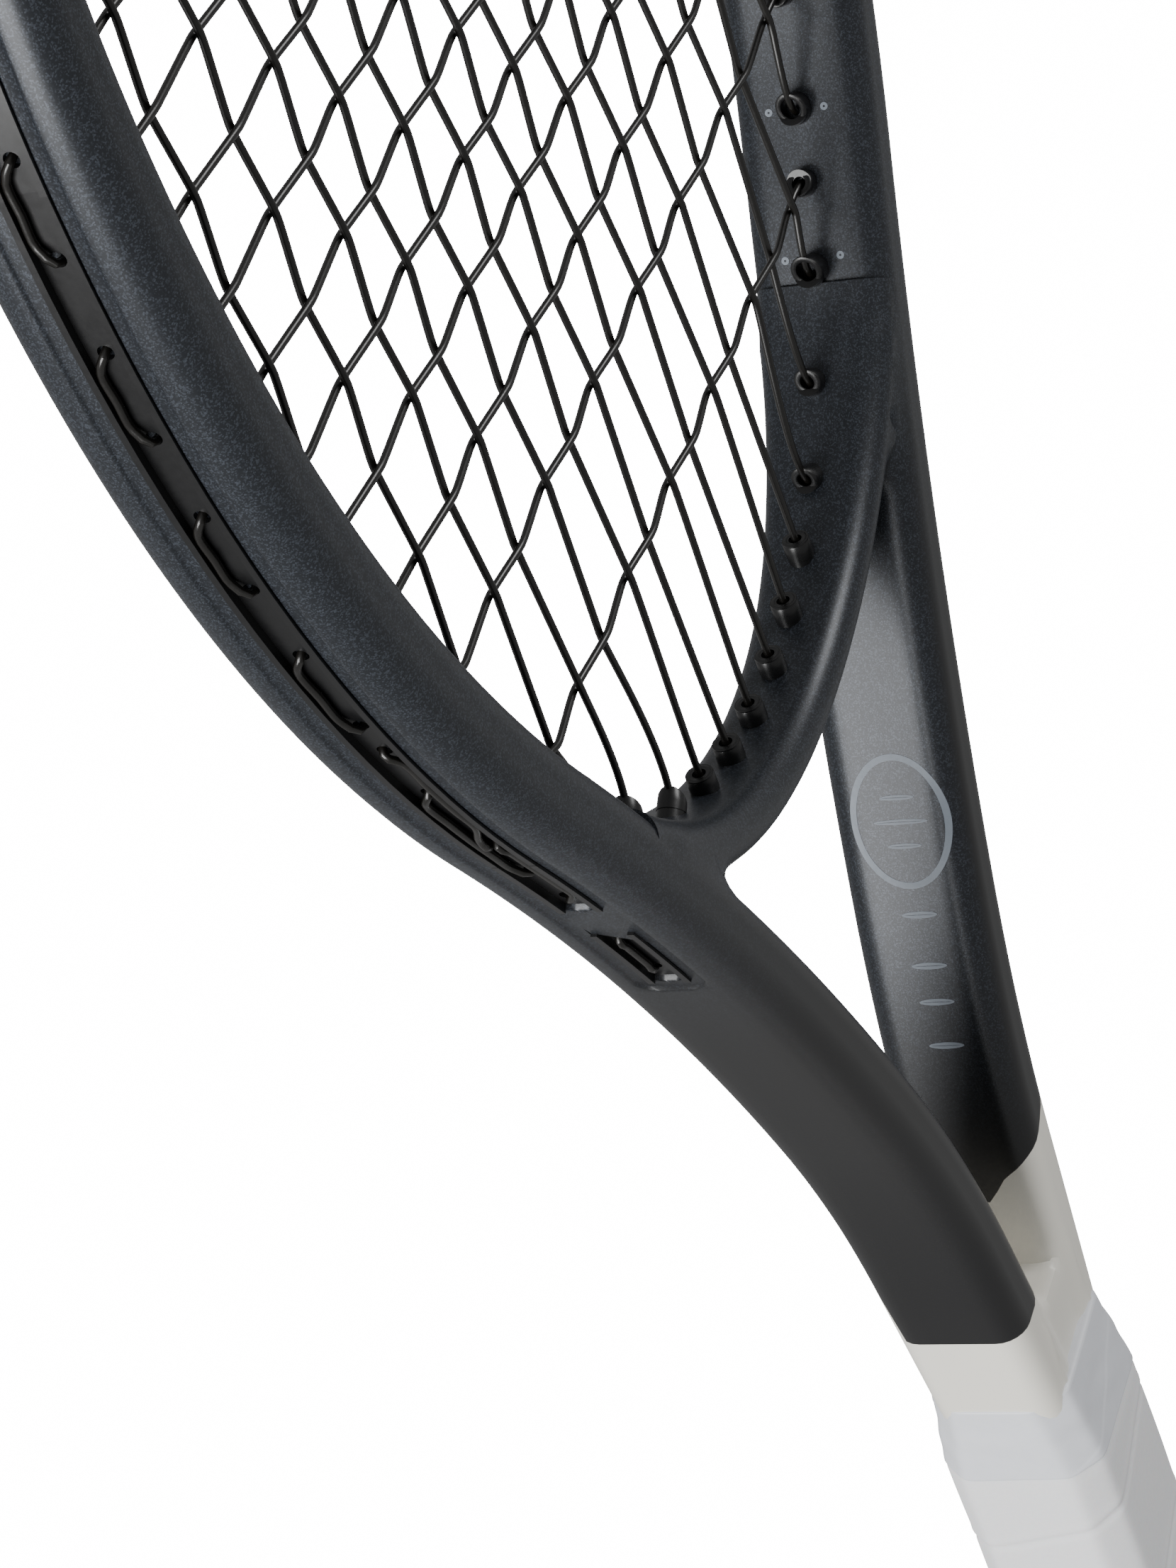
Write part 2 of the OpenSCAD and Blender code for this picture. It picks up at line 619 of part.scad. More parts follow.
function all_crosses(c = 0) = let(left = cross_left(c), run = c%2 == 0 ? left : reversed(left))
    c == 18 ? run : let(rest = all_crosses(c + 1))
    concat(run, loop(last(run), rest[0], -lane), rest);
high_tail_hole = flip(high_hole(tie_high), -1);
high_tail = let(a = last(all_crosses()), b = exit_of(high_tail_hole, tie_tail_z))
    [lay(mix(a, b, 0.35), -lane), lay(mix(a, b, 0.7), tie_tail_z), b,
        mouth_of(high_tail_hole, tie_tail_z)];
cross_path = concat([split, lay(mix(right_a, right_b, 0.62), -lane),
    lay(mix(right_a, right_b, 0.92), -lane)], all_crosses(), high_tail);

module sweep(path, d) {
    n = len(path);
    t = [for (i = [0:n - 1]) let(
        a = i > 0 ? unit(path[i] - path[i - 1]) : unit(path[1] - path[0]),
        b = i < n - 1 ? unit(path[i + 1] - path[i]) : a) unit(a + b)];
    grow = [for (i = [0:n - 1]) i < n - 1 ? 1/max(0.6, t[i]*unit(path[i + 1] - path[i])) : 1];
    side = [for (i = [0:n - 1]) unit(cross([0, 0, 1], t[i]))];
    points = [for (i = [0:n - 1]) for (k = [0:ring_n - 1])
        path[i] + d/2*(cos(360*k/ring_n)*grow[i]*side[i]
            + sin(360*k/ring_n)*cross(t[i], side[i]))];
    walls = [for (i = [0:n - 2]) for (k = [0:ring_n - 1]) let(j = (k + 1)%ring_n)
        each [[i*ring_n + k, i*ring_n + j, (i + 1)*ring_n + j],
            [i*ring_n + k, (i + 1)*ring_n + j, (i + 1)*ring_n + k]]];
    ends = [[for (k = [ring_n - 1:-1:0]) k], [for (k = [0:ring_n - 1]) (n - 1)*ring_n + k]];
    polyhedron(points, concat(walls, ends), convexity = 20);
}
module main_string() color("#1f1d1a") stand() sweep(main_path, string_d);
module cross_string() color("#1f1d1a") stand() sweep(cross_path, string_d);

// two turns of string around the main, on its way from p to q next to a tie-off grommet
module knot(p, q) translate(p) rotate([0, acos(unit(q - p).z), atan2(q.y - p.y, q.x - p.x)])
    translate([0, 0, knot_up]) rotate_extrude()
    for (j = [0, 1]) translate([string_d + 0.12, 1.0*j]) circle(d = string_d, $fn = 32);
knot_up = 4;
module tie_off_knots() color("#1f1d1a") stand() {
    low = main_up(tie_low, -1);
    high = main_up(tie_high, -1);
    knot(low[1], low[2]);
    knot(high[len(high) - 2], high[len(high) - 3]);
}

hairpin_tube();
throat_bridge();
bridge_foam();
fork_web();
handle_foam();
balance_weights();
pallet_front();
pallet_back();
butt_cap();
cap_staples();
base_grip();
finishing_tape();
bumper_guard();
side_strip_left();
side_strip_right();
throat_strip();
pocket_strip_left();
pocket_strip_right();
main_string();
cross_string();
tie_off_knots();
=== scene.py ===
"""A junior tennis racket: lacquered hoop and shafts, grommets, woven strings, wrapped grip.

Lengths are in millimetres until world() turns them upright and into metres. In the flat plan
x runs across the face, y from the butt to the tip and z towards the front."""

import bpy
import numpy as np
from mathutils import Matrix, Vector

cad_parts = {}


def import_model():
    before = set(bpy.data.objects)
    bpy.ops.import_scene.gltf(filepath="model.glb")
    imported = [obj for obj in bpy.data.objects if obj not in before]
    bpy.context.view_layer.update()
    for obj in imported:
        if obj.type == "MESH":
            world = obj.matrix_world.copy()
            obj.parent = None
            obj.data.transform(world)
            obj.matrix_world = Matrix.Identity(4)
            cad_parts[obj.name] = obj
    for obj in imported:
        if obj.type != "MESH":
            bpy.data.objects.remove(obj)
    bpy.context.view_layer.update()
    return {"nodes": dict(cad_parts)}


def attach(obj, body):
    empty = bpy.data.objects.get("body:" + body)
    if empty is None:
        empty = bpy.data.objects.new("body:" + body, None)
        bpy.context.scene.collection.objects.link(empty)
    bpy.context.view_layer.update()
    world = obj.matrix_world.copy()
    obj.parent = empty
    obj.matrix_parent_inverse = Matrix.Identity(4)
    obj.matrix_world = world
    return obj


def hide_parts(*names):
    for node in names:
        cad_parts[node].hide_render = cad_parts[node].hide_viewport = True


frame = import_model()

# ---- driving sizes of the racket, as in its construction
OVERALL, HEAD_W, HEAD_L, HEAD_LOW = 660.0, 230.0, 330.0, 181.0
THROAT_R, CROWN_R = 80.0, 95.0
TUBE_W, BEAM, EDGE_R = 13.8, 23.6, 5.0
BUMPER_T = 1.6
SHAFT_SLANT, NECK_SLANT, ROOT_SLANT = 32.5, 20.5, 8.5
SHAFT_R, NECK_R, ROOT_R = 603.0, 230.0, 60.0
TUBE_LAP = 0.8
TUBE_END = 3.0


def polar(centre, radius, degrees):
    a = np.radians(degrees)
    return np.asarray(centre, float) + radius * np.array([np.cos(a), np.sin(a)])


def oval_radius(across, along, r):
    """Radius of the arc that joins the widest place to an end arc of radius r, tangent to both."""
    return (across**2 + (along - r) ** 2 - r**2) / (2 * (across - r))


THROAT_Y = OVERALL - BUMPER_T - TUBE_W - HEAD_L
WIDE_Y = THROAT_Y + HEAD_LOW
HALF_W, HEAD_HIGH = HEAD_W / 2, HEAD_L - HEAD_LOW
MID = TUBE_W / 2
LOWER_R = oval_radius(HALF_W, HEAD_LOW, THROAT_R)
UPPER_R = oval_radius(HALF_W, HEAD_HIGH, CROWN_R)
LOWER_C = np.array([HALF_W - LOWER_R, WIDE_Y])
UPPER_C = np.array([HALF_W - UPPER_R, WIDE_Y])
CROWN_C = np.array([0, WIDE_Y + HEAD_HIGH - CROWN_R])
THROAT_C = np.array([0, THROAT_Y + THROAT_R])
CROWN_A = np.degrees(np.arctan2(HEAD_HIGH - CROWN_R, UPPER_R - HALF_W))
THROAT_A = np.degrees(np.arctan2(LOWER_R - HALF_W, HEAD_LOW - THROAT_R))
SHAFT_C = polar(LOWER_C, LOWER_R + MID + SHAFT_R, -SHAFT_SLANT)
NECK_P = polar(SHAFT_C, SHAFT_R, 180 - NECK_SLANT)
NECK_C = polar(NECK_P, NECK_R, -NECK_SLANT)
ROOT_P = polar(NECK_C, NECK_R, 180 - ROOT_SLANT)
HANDLE_X = MID - TUBE_LAP / 2
SIN_ROOT = np.sin(np.radians(ROOT_SLANT))
ROOT_RUN = (ROOT_P[0] - HANDLE_X - ROOT_R * (1 - np.cos(np.radians(ROOT_SLANT)))) / SIN_ROOT
BEND_P = ROOT_P - ROOT_RUN * np.array([SIN_ROOT, np.cos(np.radians(ROOT_SLANT))])
BEND_C = polar(BEND_P, ROOT_R, -ROOT_SLANT)


class Curve:
    """A plan curve of arcs and straight stretches, each meeting the next without a corner.
    An arc is (centre, radius, first angle, last angle, side), where side is 1 if outward is
    away from the centre and -1 if it is towards it. A stretch is (start, end, outward)."""

    def __init__(self, runs):
        self.runs = runs
        self.lengths = [self._length(r) for r in runs]
        self.starts = np.concatenate([[0], np.cumsum(self.lengths)])
        self.total = self.starts[-1]

    def _length(self, run):
        if len(run) == 3:
            return float(np.linalg.norm(np.subtract(run[1], run[0])))
        return abs(np.radians(run[3] - run[2])) * run[1]

    def at(self, s):
        """Points and outward normals at lengths s along the curve."""
        s = np.asarray(s, float)
        k = np.clip(np.searchsorted(self.starts, s, side="right") - 1, 0, len(self.runs) - 1)
        point, normal = np.zeros(s.shape + (2,)), np.zeros(s.shape + (2,))
        for i, run in enumerate(self.runs):
            here = k == i
            t = (s[here] - self.starts[i]) / self.lengths[i]
            if len(run) == 3:
                a, b, out = (np.asarray(v, float) for v in run)
                point[here] = a + t[:, None] * (b - a)
                normal[here] = out
            else:
                centre, radius, a0, a1, side = run
                a = np.radians(a0 + t * (a1 - a0))
                d = np.stack([np.cos(a), np.sin(a)], 1)
                point[here] = centre + radius * d
                normal[here] = side * d
        return point, normal

    def near(self, p):
        """Signed distance outwards from the curve, length along it, and how far p lies past
        its ends, for plan points p."""
        best = np.full(len(p), 1e9)
        offset, along, past = np.zeros(len(p)), np.zeros(len(p)), np.zeros(len(p))
        for i, run in enumerate(self.runs):
            if len(run) == 3:
                a, b, out = (np.asarray(v, float) for v in run)
                d = (b - a) / self.lengths[i]
                raw = (p - a) @ d
                t = np.clip(raw, 0, self.lengths[i])
                u = (p - a) @ out
                over = raw - t
            else:
                centre, radius, a0, a1, side = run
                q = p - centre
                sweep = a1 - a0
                mid = (a0 + a1) / 2
                angle = np.degrees(np.arctan2(q[:, 1], q[:, 0]))
                angle = mid + (angle - mid + 180) % 360 - 180
                raw = (angle - a0) / sweep
                t01 = np.clip(raw, 0, 1)
                r = np.hypot(q[:, 0], q[:, 1])
                u = side * (r - radius)
                over = (raw - t01) * self.lengths[i]
                t = t01 * self.lengths[i]
            reach = np.hypot(u, over)
            take = reach < best
            best[take] = reach[take]
            offset[take], along[take] = u[take], self.starts[i] + t[take]
            past[take] = np.abs(over[take])
        return offset, along, past


HAIRPIN = Curve([
    (CROWN_C, CROWN_R + MID, 90, CROWN_A, 1),
    (UPPER_C, UPPER_R + MID, CROWN_A, 0, 1),
    (LOWER_C, LOWER_R + MID, 0, -SHAFT_SLANT, 1),
    (SHAFT_C, SHAFT_R, 180 - SHAFT_SLANT, 180 - NECK_SLANT, -1),
    (NECK_C, NECK_R, 180 - NECK_SLANT, 180 - ROOT_SLANT, -1),
    (ROOT_P, BEND_P, (np.cos(np.radians(ROOT_SLANT)), -SIN_ROOT)),
    (BEND_C, ROOT_R, 180 - ROOT_SLANT, 180, -1),
    ((HANDLE_X, BEND_C[1]), (HANDLE_X, TUBE_END), (1, 0)),
])


# ---- the inner face of the throat bridge, from its middle to where it has joined the tube
LEAVE = 0.7  # degrees of the head's arc that the bridge still follows
THROAT_FACE = Curve([
    (THROAT_C, THROAT_R, -90, THROAT_A - 90, 1),
    (LOWER_C, LOWER_R, THROAT_A - 90, THROAT_A - 90 + LEAVE, 1),
])
BRIDGE_W, BRIDGE_H, WAIST_R = 8.5, 16.0, 480.0
WEB_HALF, WEB_TOP, WEB_LOW = 8.0, 183.0, 150.0


def world(plan):
    """Plan points (x, y, z) in millimetres, stood upright in metres."""
    plan = np.asarray(plan, float)
    return np.stack([plan[..., 0], -plan[..., 2], plan[..., 1]], -1) / 1000


def ease(t):
    """0 below 0, 1 above 1, and 3t^2 - 2t^3 between."""
    t = np.clip(t, 0, 1)
    return t * t * (3 - 2 * t)


def rounded_box(u, z, half_u, half_z, r):
    """Distance from a rectangle with rounded corners: the length of the part of
    (|u|, |z|) beyond the inner rectangle, less the corner radius."""
    a, b = np.abs(u) - (half_u - r), np.abs(z) - (half_z - r)
    return np.hypot(np.maximum(a, 0), np.maximum(b, 0)) + np.minimum(np.maximum(a, b), 0) - r


def bridge_sizes(s):
    """Width, depth and edge radius of the bridge at length s from its middle. Towards its ends
    it grows nearly as deep as the tube, which it runs into."""
    x = THROAT_FACE.at(np.minimum(s, THROAT_FACE.total - 1e-6))[0][..., 0]
    join = ease((s - 38) / 30)
    depth = np.minimum(BRIDGE_H + x**2 / WAIST_R, BEAM - 0.4)
    return BRIDGE_W + 2.0 * join, depth, 4.1 + 0.9 * join


def tube_distance(p, side):
    u, _, _ = HAIRPIN.near(np.stack([side * p[:, 0], p[:, 1]], 1))
    return rounded_box(u, p[:, 2], MID, BEAM / 2, EDGE_R)


def bridge_distance(p):
    u, s, past = THROAT_FACE.near(np.stack([np.abs(p[:, 0]), p[:, 1]], 1))
    width, depth, r = bridge_sizes(s)
    return np.maximum(rounded_box(u - width / 2, p[:, 2], width / 2, depth / 2, r), past)


def web_distance(p):
    half_y, half_z, r = (WEB_TOP - WEB_LOW) / 2, BEAM / 2 - 0.9, 1.2
    flat = rounded_box(p[:, 1] - (WEB_TOP + WEB_LOW) / 2, p[:, 2], half_y, half_z, r)
    return np.maximum(flat, np.abs(p[:, 0]) - WEB_HALF)


SOLIDS = {
    "left": lambda p: tube_distance(p, -1),
    "right": lambda p: tube_distance(p, 1),
    "bridge": bridge_distance,
    "web": web_distance,
}


def bridge_fillet(p):
    """5 mm, fading to nothing over the last 14 mm of the bridge, where it runs into the tube."""
    s = THROAT_FACE.near(np.stack([np.abs(p[:, 0]), p[:, 1]], 1))[1]
    return 5.0 * ease((THROAT_FACE.total - 2 - s) / 14)


FILLET = {"right": lambda p: 4.0, "bridge": bridge_fillet, "web": lambda p: 3.5}


def slope(f, p, e=0.02):
    """Unit gradient of f at p by central differences."""
    g = np.stack([(f(p + e * d) - f(p - e * d)) for d in np.eye(3)], 1)
    return g / np.maximum(np.linalg.norm(g, axis=1), 1e-9)[:, None]


def blended(p):
    """Smooth union of the solids and its gradient. Where two surfaces meet at an angle, the
    fillet takes k(1 - cos angle); where they run on into each other it takes nothing."""
    names = list(SOLIDS)
    d, g = SOLIDS[names[0]](p), slope(SOLIDS[names[0]], p)
    for name in names[1:]:
        e, ge = SOLIDS[name](p), slope(SOLIDS[name], p)
        k = FILLET[name](p) * np.clip(1 - (g * ge).sum(1), 0, 1) + 1e-6
        h = np.clip(k - np.abs(d - e), 0, None) / k
        w = np.where(e < d, 1 - h / 2, h / 2)[:, None]
        d = np.minimum(d, e) - h * h * k / 4
        g = (1 - w) * g + w * ge
        g /= np.maximum(np.linalg.norm(g, axis=1), 1e-9)[:, None]
    return d, g


def settle(points, own):
    """Moves surface points out onto the blended surface. Points that lie inside another solid
    stay just under its skin."""
    flat = points.reshape(-1, 3).copy()
    near = ((flat[:, 1] < THROAT_Y + 75) & (flat[:, 1] > THROAT_Y - 35)) | (flat[:, 1] < 225)
    p = flat[near]
    e = np.min([f(p) for name, f in SOLIDS.items() if name != own], axis=0) if own in (
        "bridge", "web") else np.min([
            np.where(p[:, 0] > 0, SOLIDS["left"](p), SOLIDS["right"](p)),
            SOLIDS["bridge"](p), SOLIDS["web"](p)], axis=0)
    share = np.clip((e + 2.2) / 1.0, 0, 1)[:, None]
    for _ in range(4):
        d, g = blended(p)
        p = p - share * d[:, None] * g
    p -= 0.03 * np.clip(-e / 0.05, 0, 1)[:, None] * g
    flat[near] = p
    return flat.reshape(points.shape)


# ---- turning arrays into meshes

def quads(rows, cols, around_rows=False):
    """Corner numbers of the quads of a grid whose rows are rings, joined round along the rows
    too if asked."""
    r = np.arange(rows if around_rows else rows - 1)[:, None]
    c = np.arange(cols)[None, :]
    r1, c1 = (r + 1) % rows, (c + 1) % cols
    corners = [r * cols + c, r * cols + c1, r1 * cols + c1, r1 * cols + c]
    return np.stack(corners, -1).reshape(-1, 4)


def closed_ends(points):
    """A grid of rings as vertices and faces, its first and last ring closed to a middle point."""
    rows, cols = points.shape[:2]
    flat = np.concatenate([points.reshape(-1, 3), points[:1].mean(1), points[-1:].mean(1)])
    c = np.arange(cols)
    n = (c + 1) % cols
    first, last = rows * cols, rows * cols + 1
    low = np.stack([np.full(cols, first), n, c], 1)
    high = np.stack([np.full(cols, last), (rows - 1) * cols + c, (rows - 1) * cols + n], 1)
    return flat, [quads(rows, cols), low, high]


def joined(shells):
    """Several (vertices, faces) shells as one."""
    points, faces, base = [], [], 0
    for p, fs in shells:
        points.append(p)
        faces += [f + base for f in fs]
        base += len(p)
    return np.concatenate(points), faces


def volume(points, faces):
    """Signed volume inside the faces, a sixth of the sum of triple products."""
    total = 0.0
    for f in faces:
        for k in range(1, f.shape[1] - 1):
            a, b, c = points[f[:, 0]], points[f[:, k]], points[f[:, k + 1]]
            total += (a * np.cross(b, c)).sum()
    return total / 6


def make(name, shells, material, replaces=(), marks=None, crease=40):
    """A piece of the racket from closed shells in plan millimetres. marks are values per vertex,
    by attribute name. Edges sharper than crease degrees stay sharp."""
    solid = []
    for p, fs in shells:
        p = world(p)
        solid.append((p, [f[:, ::-1] for f in fs] if volume(p, fs) < 0 else fs))
    points, faces = joined(solid)
    mesh = bpy.data.meshes.new(name)
    mesh.from_pydata(points.tolist(), [], [row for f in faces for row in f.tolist()])
    for key, values in (marks or {}).items():
        mesh.attributes.new(key, "FLOAT", "POINT").data.foreach_set(
            "value", np.asarray(values, np.float32))
    mesh.shade_smooth()
    if crease < 180:
        mesh.set_sharp_from_angle(angle=np.radians(crease))
    mesh.materials.append(material)
    piece = bpy.data.objects.new(name, mesh)
    bpy.context.scene.collection.objects.link(piece)
    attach(piece, "root")
    if replaces:
        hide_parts(*replaces)
    return piece


# ---- materials

def linear(hex_colour):
    """sRGB hex to linear RGBA."""
    c = np.array([int(hex_colour[i:i + 2], 16) for i in (1, 3, 5)]) / 255
    return (*np.where(c <= 0.04045, c / 12.92, ((c + 0.055) / 1.055) ** 2.4), 1.0)


def add(tree, kind, links=None, **settings):
    """Adds a node. settings are its properties or input values, links its inputs' sources."""
    node = tree.nodes.new(kind)
    for key, value in settings.items():
        if hasattr(node, key) and key not in node.inputs:
            setattr(node, key, value)
        else:
            node.inputs[key].default_value = value
    for key, source in (links or {}).items():
        tree.links.new(source, node.inputs[key])
    return node


def principled(name, colour, **values):
    """A material with one Principled shader. Returns the material, its tree and the shader."""
    material = bpy.data.materials.new(name)
    material.use_nodes = True
    tree = material.node_tree
    shader = tree.nodes["Principled BSDF"]
    shader.inputs["Base Color"].default_value = linear(colour)
    material.diffuse_color = linear(colour)
    for key, value in values.items():
        shader.inputs[key.replace("_", " ")].default_value = value
    return material, tree, shader


def mottled(name, colour, other, size, roughness, rough_by, bump, **values):
    """A moulded or woven surface: fine noise of a given size in millimetres moves its colour,
    its roughness and its height a little."""
    material, tree, shader = principled(name, colour, **values)
    place = add(tree, "ShaderNodeTexCoord").outputs["Object"]
    noise = add(tree, "ShaderNodeTexNoise", {"Vector": place}, Scale=1000 / size, Detail=3.0)
    mix = add(tree, "ShaderNodeMix", {"Factor": noise.outputs["Fac"]}, data_type="RGBA")
    mix.inputs[6].default_value, mix.inputs[7].default_value = linear(colour), linear(other)
    tree.links.new(mix.outputs[2], shader.inputs["Base Color"])
    rough = add(tree, "ShaderNodeMapRange", {"Value": noise.outputs["Fac"]})
    rough.inputs["To Min"].default_value = roughness - rough_by
    rough.inputs["To Max"].default_value = roughness + rough_by
    tree.links.new(rough.outputs["Result"], shader.inputs["Roughness"])
    relief = add(tree, "ShaderNodeBump", {"Height": noise.outputs["Fac"]},
                 Strength=0.5, Distance=bump / 1000)
    tree.links.new(relief.outputs["Normal"], shader.inputs["Normal"])
    return material


def lacquer_material():
    """Sprayed lacquer on carbon fibre: a charcoal base with metal flakes that sparkle, plain
    black towards the fork and ivory around it, all under one satin clear coat."""
    material, tree, shader = principled(
        "satin lacquer with metal flake", "#1D1F23", Roughness=0.4, IOR=1.5,
        Coat_Weight=0.12, Coat_Roughness=0.32, Coat_IOR=1.5)
    place = add(tree, "ShaderNodeTexCoord").outputs["Object"]
    # real flakes are a twentieth of a millimetre; they are drawn at 0.2 mm to show at all
    flakes = add(tree, "ShaderNodeTexVoronoi", {"Vector": place}, Scale=1000 / 0.2)
    glint = add(tree, "ShaderNodeSeparateColor", {"Color": flakes.outputs["Color"]})
    spark = add(tree, "ShaderNodeMapRange", {"Value": glint.outputs["Red"]})
    for key, value in (("From Min", 0.55), ("From Max", 1.0), ("To Max", 1.0)):
        spark.inputs[key].default_value = value
    share = add(tree, "ShaderNodeAttribute", attribute_name="flake").outputs["Fac"]
    amount = add(tree, "ShaderNodeMath", operation="MULTIPLY")
    tree.links.new(spark.outputs["Result"], amount.inputs[0])
    tree.links.new(share, amount.inputs[1])
    grey = add(tree, "ShaderNodeMix", {"Factor": share}, data_type="RGBA")
    grey.inputs[6].default_value = linear("#131314")
    grey.inputs[7].default_value = linear("#1E2126")
    lit = add(tree, "ShaderNodeMix", {"Factor": amount.outputs[0]}, data_type="RGBA")
    tree.links.new(grey.outputs[2], lit.inputs[6])
    lit.inputs[7].default_value = linear("#3D424A")
    pale = add(tree, "ShaderNodeMapRange", {
        "Value": add(tree, "ShaderNodeAttribute", attribute_name="ivory").outputs["Fac"]})
    pale.inputs["From Min"].default_value, pale.inputs["From Max"].default_value = -0.06, 0.06
    paint = add(tree, "ShaderNodeMix", {"Factor": pale.outputs["Result"]}, data_type="RGBA")
    tree.links.new(lit.outputs[2], paint.inputs[6])
    paint.inputs[7].default_value = linear("#E9E6DC")
    tree.links.new(paint.outputs[2], shader.inputs["Base Color"])
    metal = add(tree, "ShaderNodeMath", operation="MULTIPLY")
    dark = add(tree, "ShaderNodeMath", operation="SUBTRACT")
    dark.inputs[0].default_value = 1.0
    tree.links.new(pale.outputs["Result"], dark.inputs[1])
    tree.links.new(dark.outputs[0], metal.inputs[0])
    tree.links.new(share, metal.inputs[1])
    half = add(tree, "ShaderNodeMath", operation="MULTIPLY")
    tree.links.new(metal.outputs[0], half.inputs[0])
    half.inputs[1].default_value = 0.3
    tree.links.new(half.outputs[0], shader.inputs["Metallic"])
    tilt = add(tree, "ShaderNodeBump", {"Height": amount.outputs[0]}, Strength=0.12,
               Distance=0.0001)
    tree.links.new(tilt.outputs["Normal"], shader.inputs["Normal"])
    return material


LACQUER = lacquer_material()
NYLON = mottled("moulded black nylon", "#0B0B0C", "#101011", 1.2, 0.34, 0.05, 0.01, IOR=1.53)
STRING = mottled("black multifilament string", "#0D0C0B", "#14120F", 0.5, 0.3, 0.06, 0.01,
                 IOR=1.55)
GRIP = mottled("white polyurethane grip", "#EDEDEE", "#E3E4E6", 0.9, 0.56, 0.06, 0.03, IOR=1.5,
               Subsurface_Weight=0.1, Subsurface_Scale=0.002)
TAPE = mottled("white elastic tape", "#DFE1E6", "#D6D9DF", 2.0, 0.38, 0.05, 0.02, IOR=1.5)
CAP = mottled("white moulded ABS", "#EFEFEC", "#E9E9E6", 1.5, 0.42, 0.04, 0.01, IOR=1.54)
FOAM = mottled("polyurethane foam", "#DCCB9C", "#CDBA88", 0.8, 0.9, 0.05, 0.1, IOR=1.4)
PALLET = mottled("grey moulded pallet", "#C9C9C4", "#BFBFBA", 1.0, 0.6, 0.05, 0.02, IOR=1.5)
STEEL = mottled("bright steel", "#B9BCC0", "#AFB2B6", 0.6, 0.3, 0.05, 0.005, Metallic=1.0)
PRINT = mottled("grey printed ink", "#7F8791", "#78808A", 0.8, 0.5, 0.05, 0.005, IOR=1.5)

# ---- the frame: tube, bridge and web, blended into one moulding

CHANNEL_END = HAIRPIN.starts[3] + 23
POCKET = (HAIRPIN.starts[3] + 33, HAIRPIN.starts[3] + 55)
LAND_END = POCKET[1] + 2.5


def recess(s):
    """Shape of the string channel and the shallow land around it at lengths s: half width and
    depth of the land, then middle, half width and depth of the slot. Ends are round."""
    land_r, slot_half, slot_r = 3.6, 3.5, 3.0
    back = np.clip(s - (LAND_END - land_r), 0, land_r)
    land = 5.7 - land_r + np.sqrt(land_r**2 - back**2)
    land_depth = 0.55 * ease((LAND_END - s) / 0.5)
    half, middle, depth = np.full_like(s, slot_half), np.zeros_like(s), np.zeros_like(s)
    for end in (CHANNEL_END, POCKET[1]):
        close = np.clip(s - (end - slot_r), 0, slot_r)
        here = (s > end - 15) & (s < end + 3)
        half[here] = (slot_half - slot_r + np.sqrt(slot_r**2 - close**2))[here]
    # the pocket starts on a slant, further up on the back edge than on the front one
    slant = 5.0
    start = np.clip((s - POCKET[0]) / slant, 0.04, 1)
    opening = (s > CHANNEL_END + 3) & (s < POCKET[0] + slant)
    half[opening] = (slot_half * start)[opening]
    middle[opening] = (-slot_half + slot_half * start)[opening]
    depth = 2.4 * np.maximum(ease((CHANNEL_END - s) / 0.4),
                             ease((s - POCKET[0]) / 0.4) * ease((POCKET[1] - s) / 0.4))
    return land, land_depth, middle, half, depth


def corner(n, u, z, r, start):
    """n points on a quarter circle."""
    a = np.radians(start + np.linspace(0, 90, n))
    return u + r * np.cos(a), z + r * np.sin(a)


def tube_section(s):
    """Rings of the tube at lengths s: a rounded rectangle, with the land and the channel let
    into its outer face. Returns offsets outwards and towards the front."""
    land, land_depth, middle, half, depth = recess(s)
    flat = BEAM / 2 - EDGE_R
    columns = []
    for sign in (-1, 1):
        v = np.stack([0 * half, 0.5 * half, half - np.minimum(0.14, half * 0.4), half,
                      half + 0.22], 1)
        d = np.stack([depth, depth, depth, 0.25 * depth, 0 * depth], 1)
        v = middle[:, None] + sign * v
        land_v = np.stack([
            np.maximum(land - 0.4, half + 0.3), np.maximum(land - 0.12, half + 0.34),
            np.maximum(land + 0.1, half + 0.38), np.maximum(land + 0.4, half + 0.5)], 1)
        share = np.array([1.0, 0.55, 0.1, 0.0])
        v = np.concatenate([v, sign * land_v, np.full((len(s), 1), sign * flat)], 1)
        d = np.maximum(np.concatenate([d, 0 * land_v, 0 * v[:, :1]], 1), np.concatenate([
            np.repeat(land_depth[:, None], 5, 1), share * land_depth[:, None], 0 * v[:, :1]], 1))
        columns.append((MID - d, v))
    back, front = columns
    # the rest of the section, from the front edge of the outer face round to its back edge
    parts = [corner(7, MID - EDGE_R, flat, EDGE_R, 0),
             (np.linspace(1.2, -1.2, 3), np.full(3, BEAM / 2)),
             corner(7, -MID + EDGE_R, flat, EDGE_R, 90),
             (np.full(7, -MID), np.linspace(flat * 0.8, -flat * 0.8, 7)),
             corner(7, -MID + EDGE_R, -flat, EDGE_R, 180),
             (np.linspace(-1.2, 1.2, 3), np.full(3, -BEAM / 2)),
             corner(7, MID - EDGE_R, -flat, EDGE_R, 270)]
    rest = [np.tile(np.concatenate([p[i] for p in parts]), (len(s), 1)) for i in (0, 1)]
    u = np.concatenate([front[0][:, :-1], rest[0], back[0][:, ::-1][:, 1:-1]], 1)
    z = np.concatenate([front[1][:, :-1], rest[1], back[1][:, ::-1][:, 1:-1]], 1)
    return u, z


def spaced(total, coarse, fine, windows):
    """Lengths from 0 to total, coarse apart, and fine apart inside the windows."""
    marks = [0.0]
    while marks[-1] < total:
        here = marks[-1]
        step = fine if any(a <= here <= b for a, b in windows) else coarse
        marks.append(min(here + step, total))
    return np.array(marks)


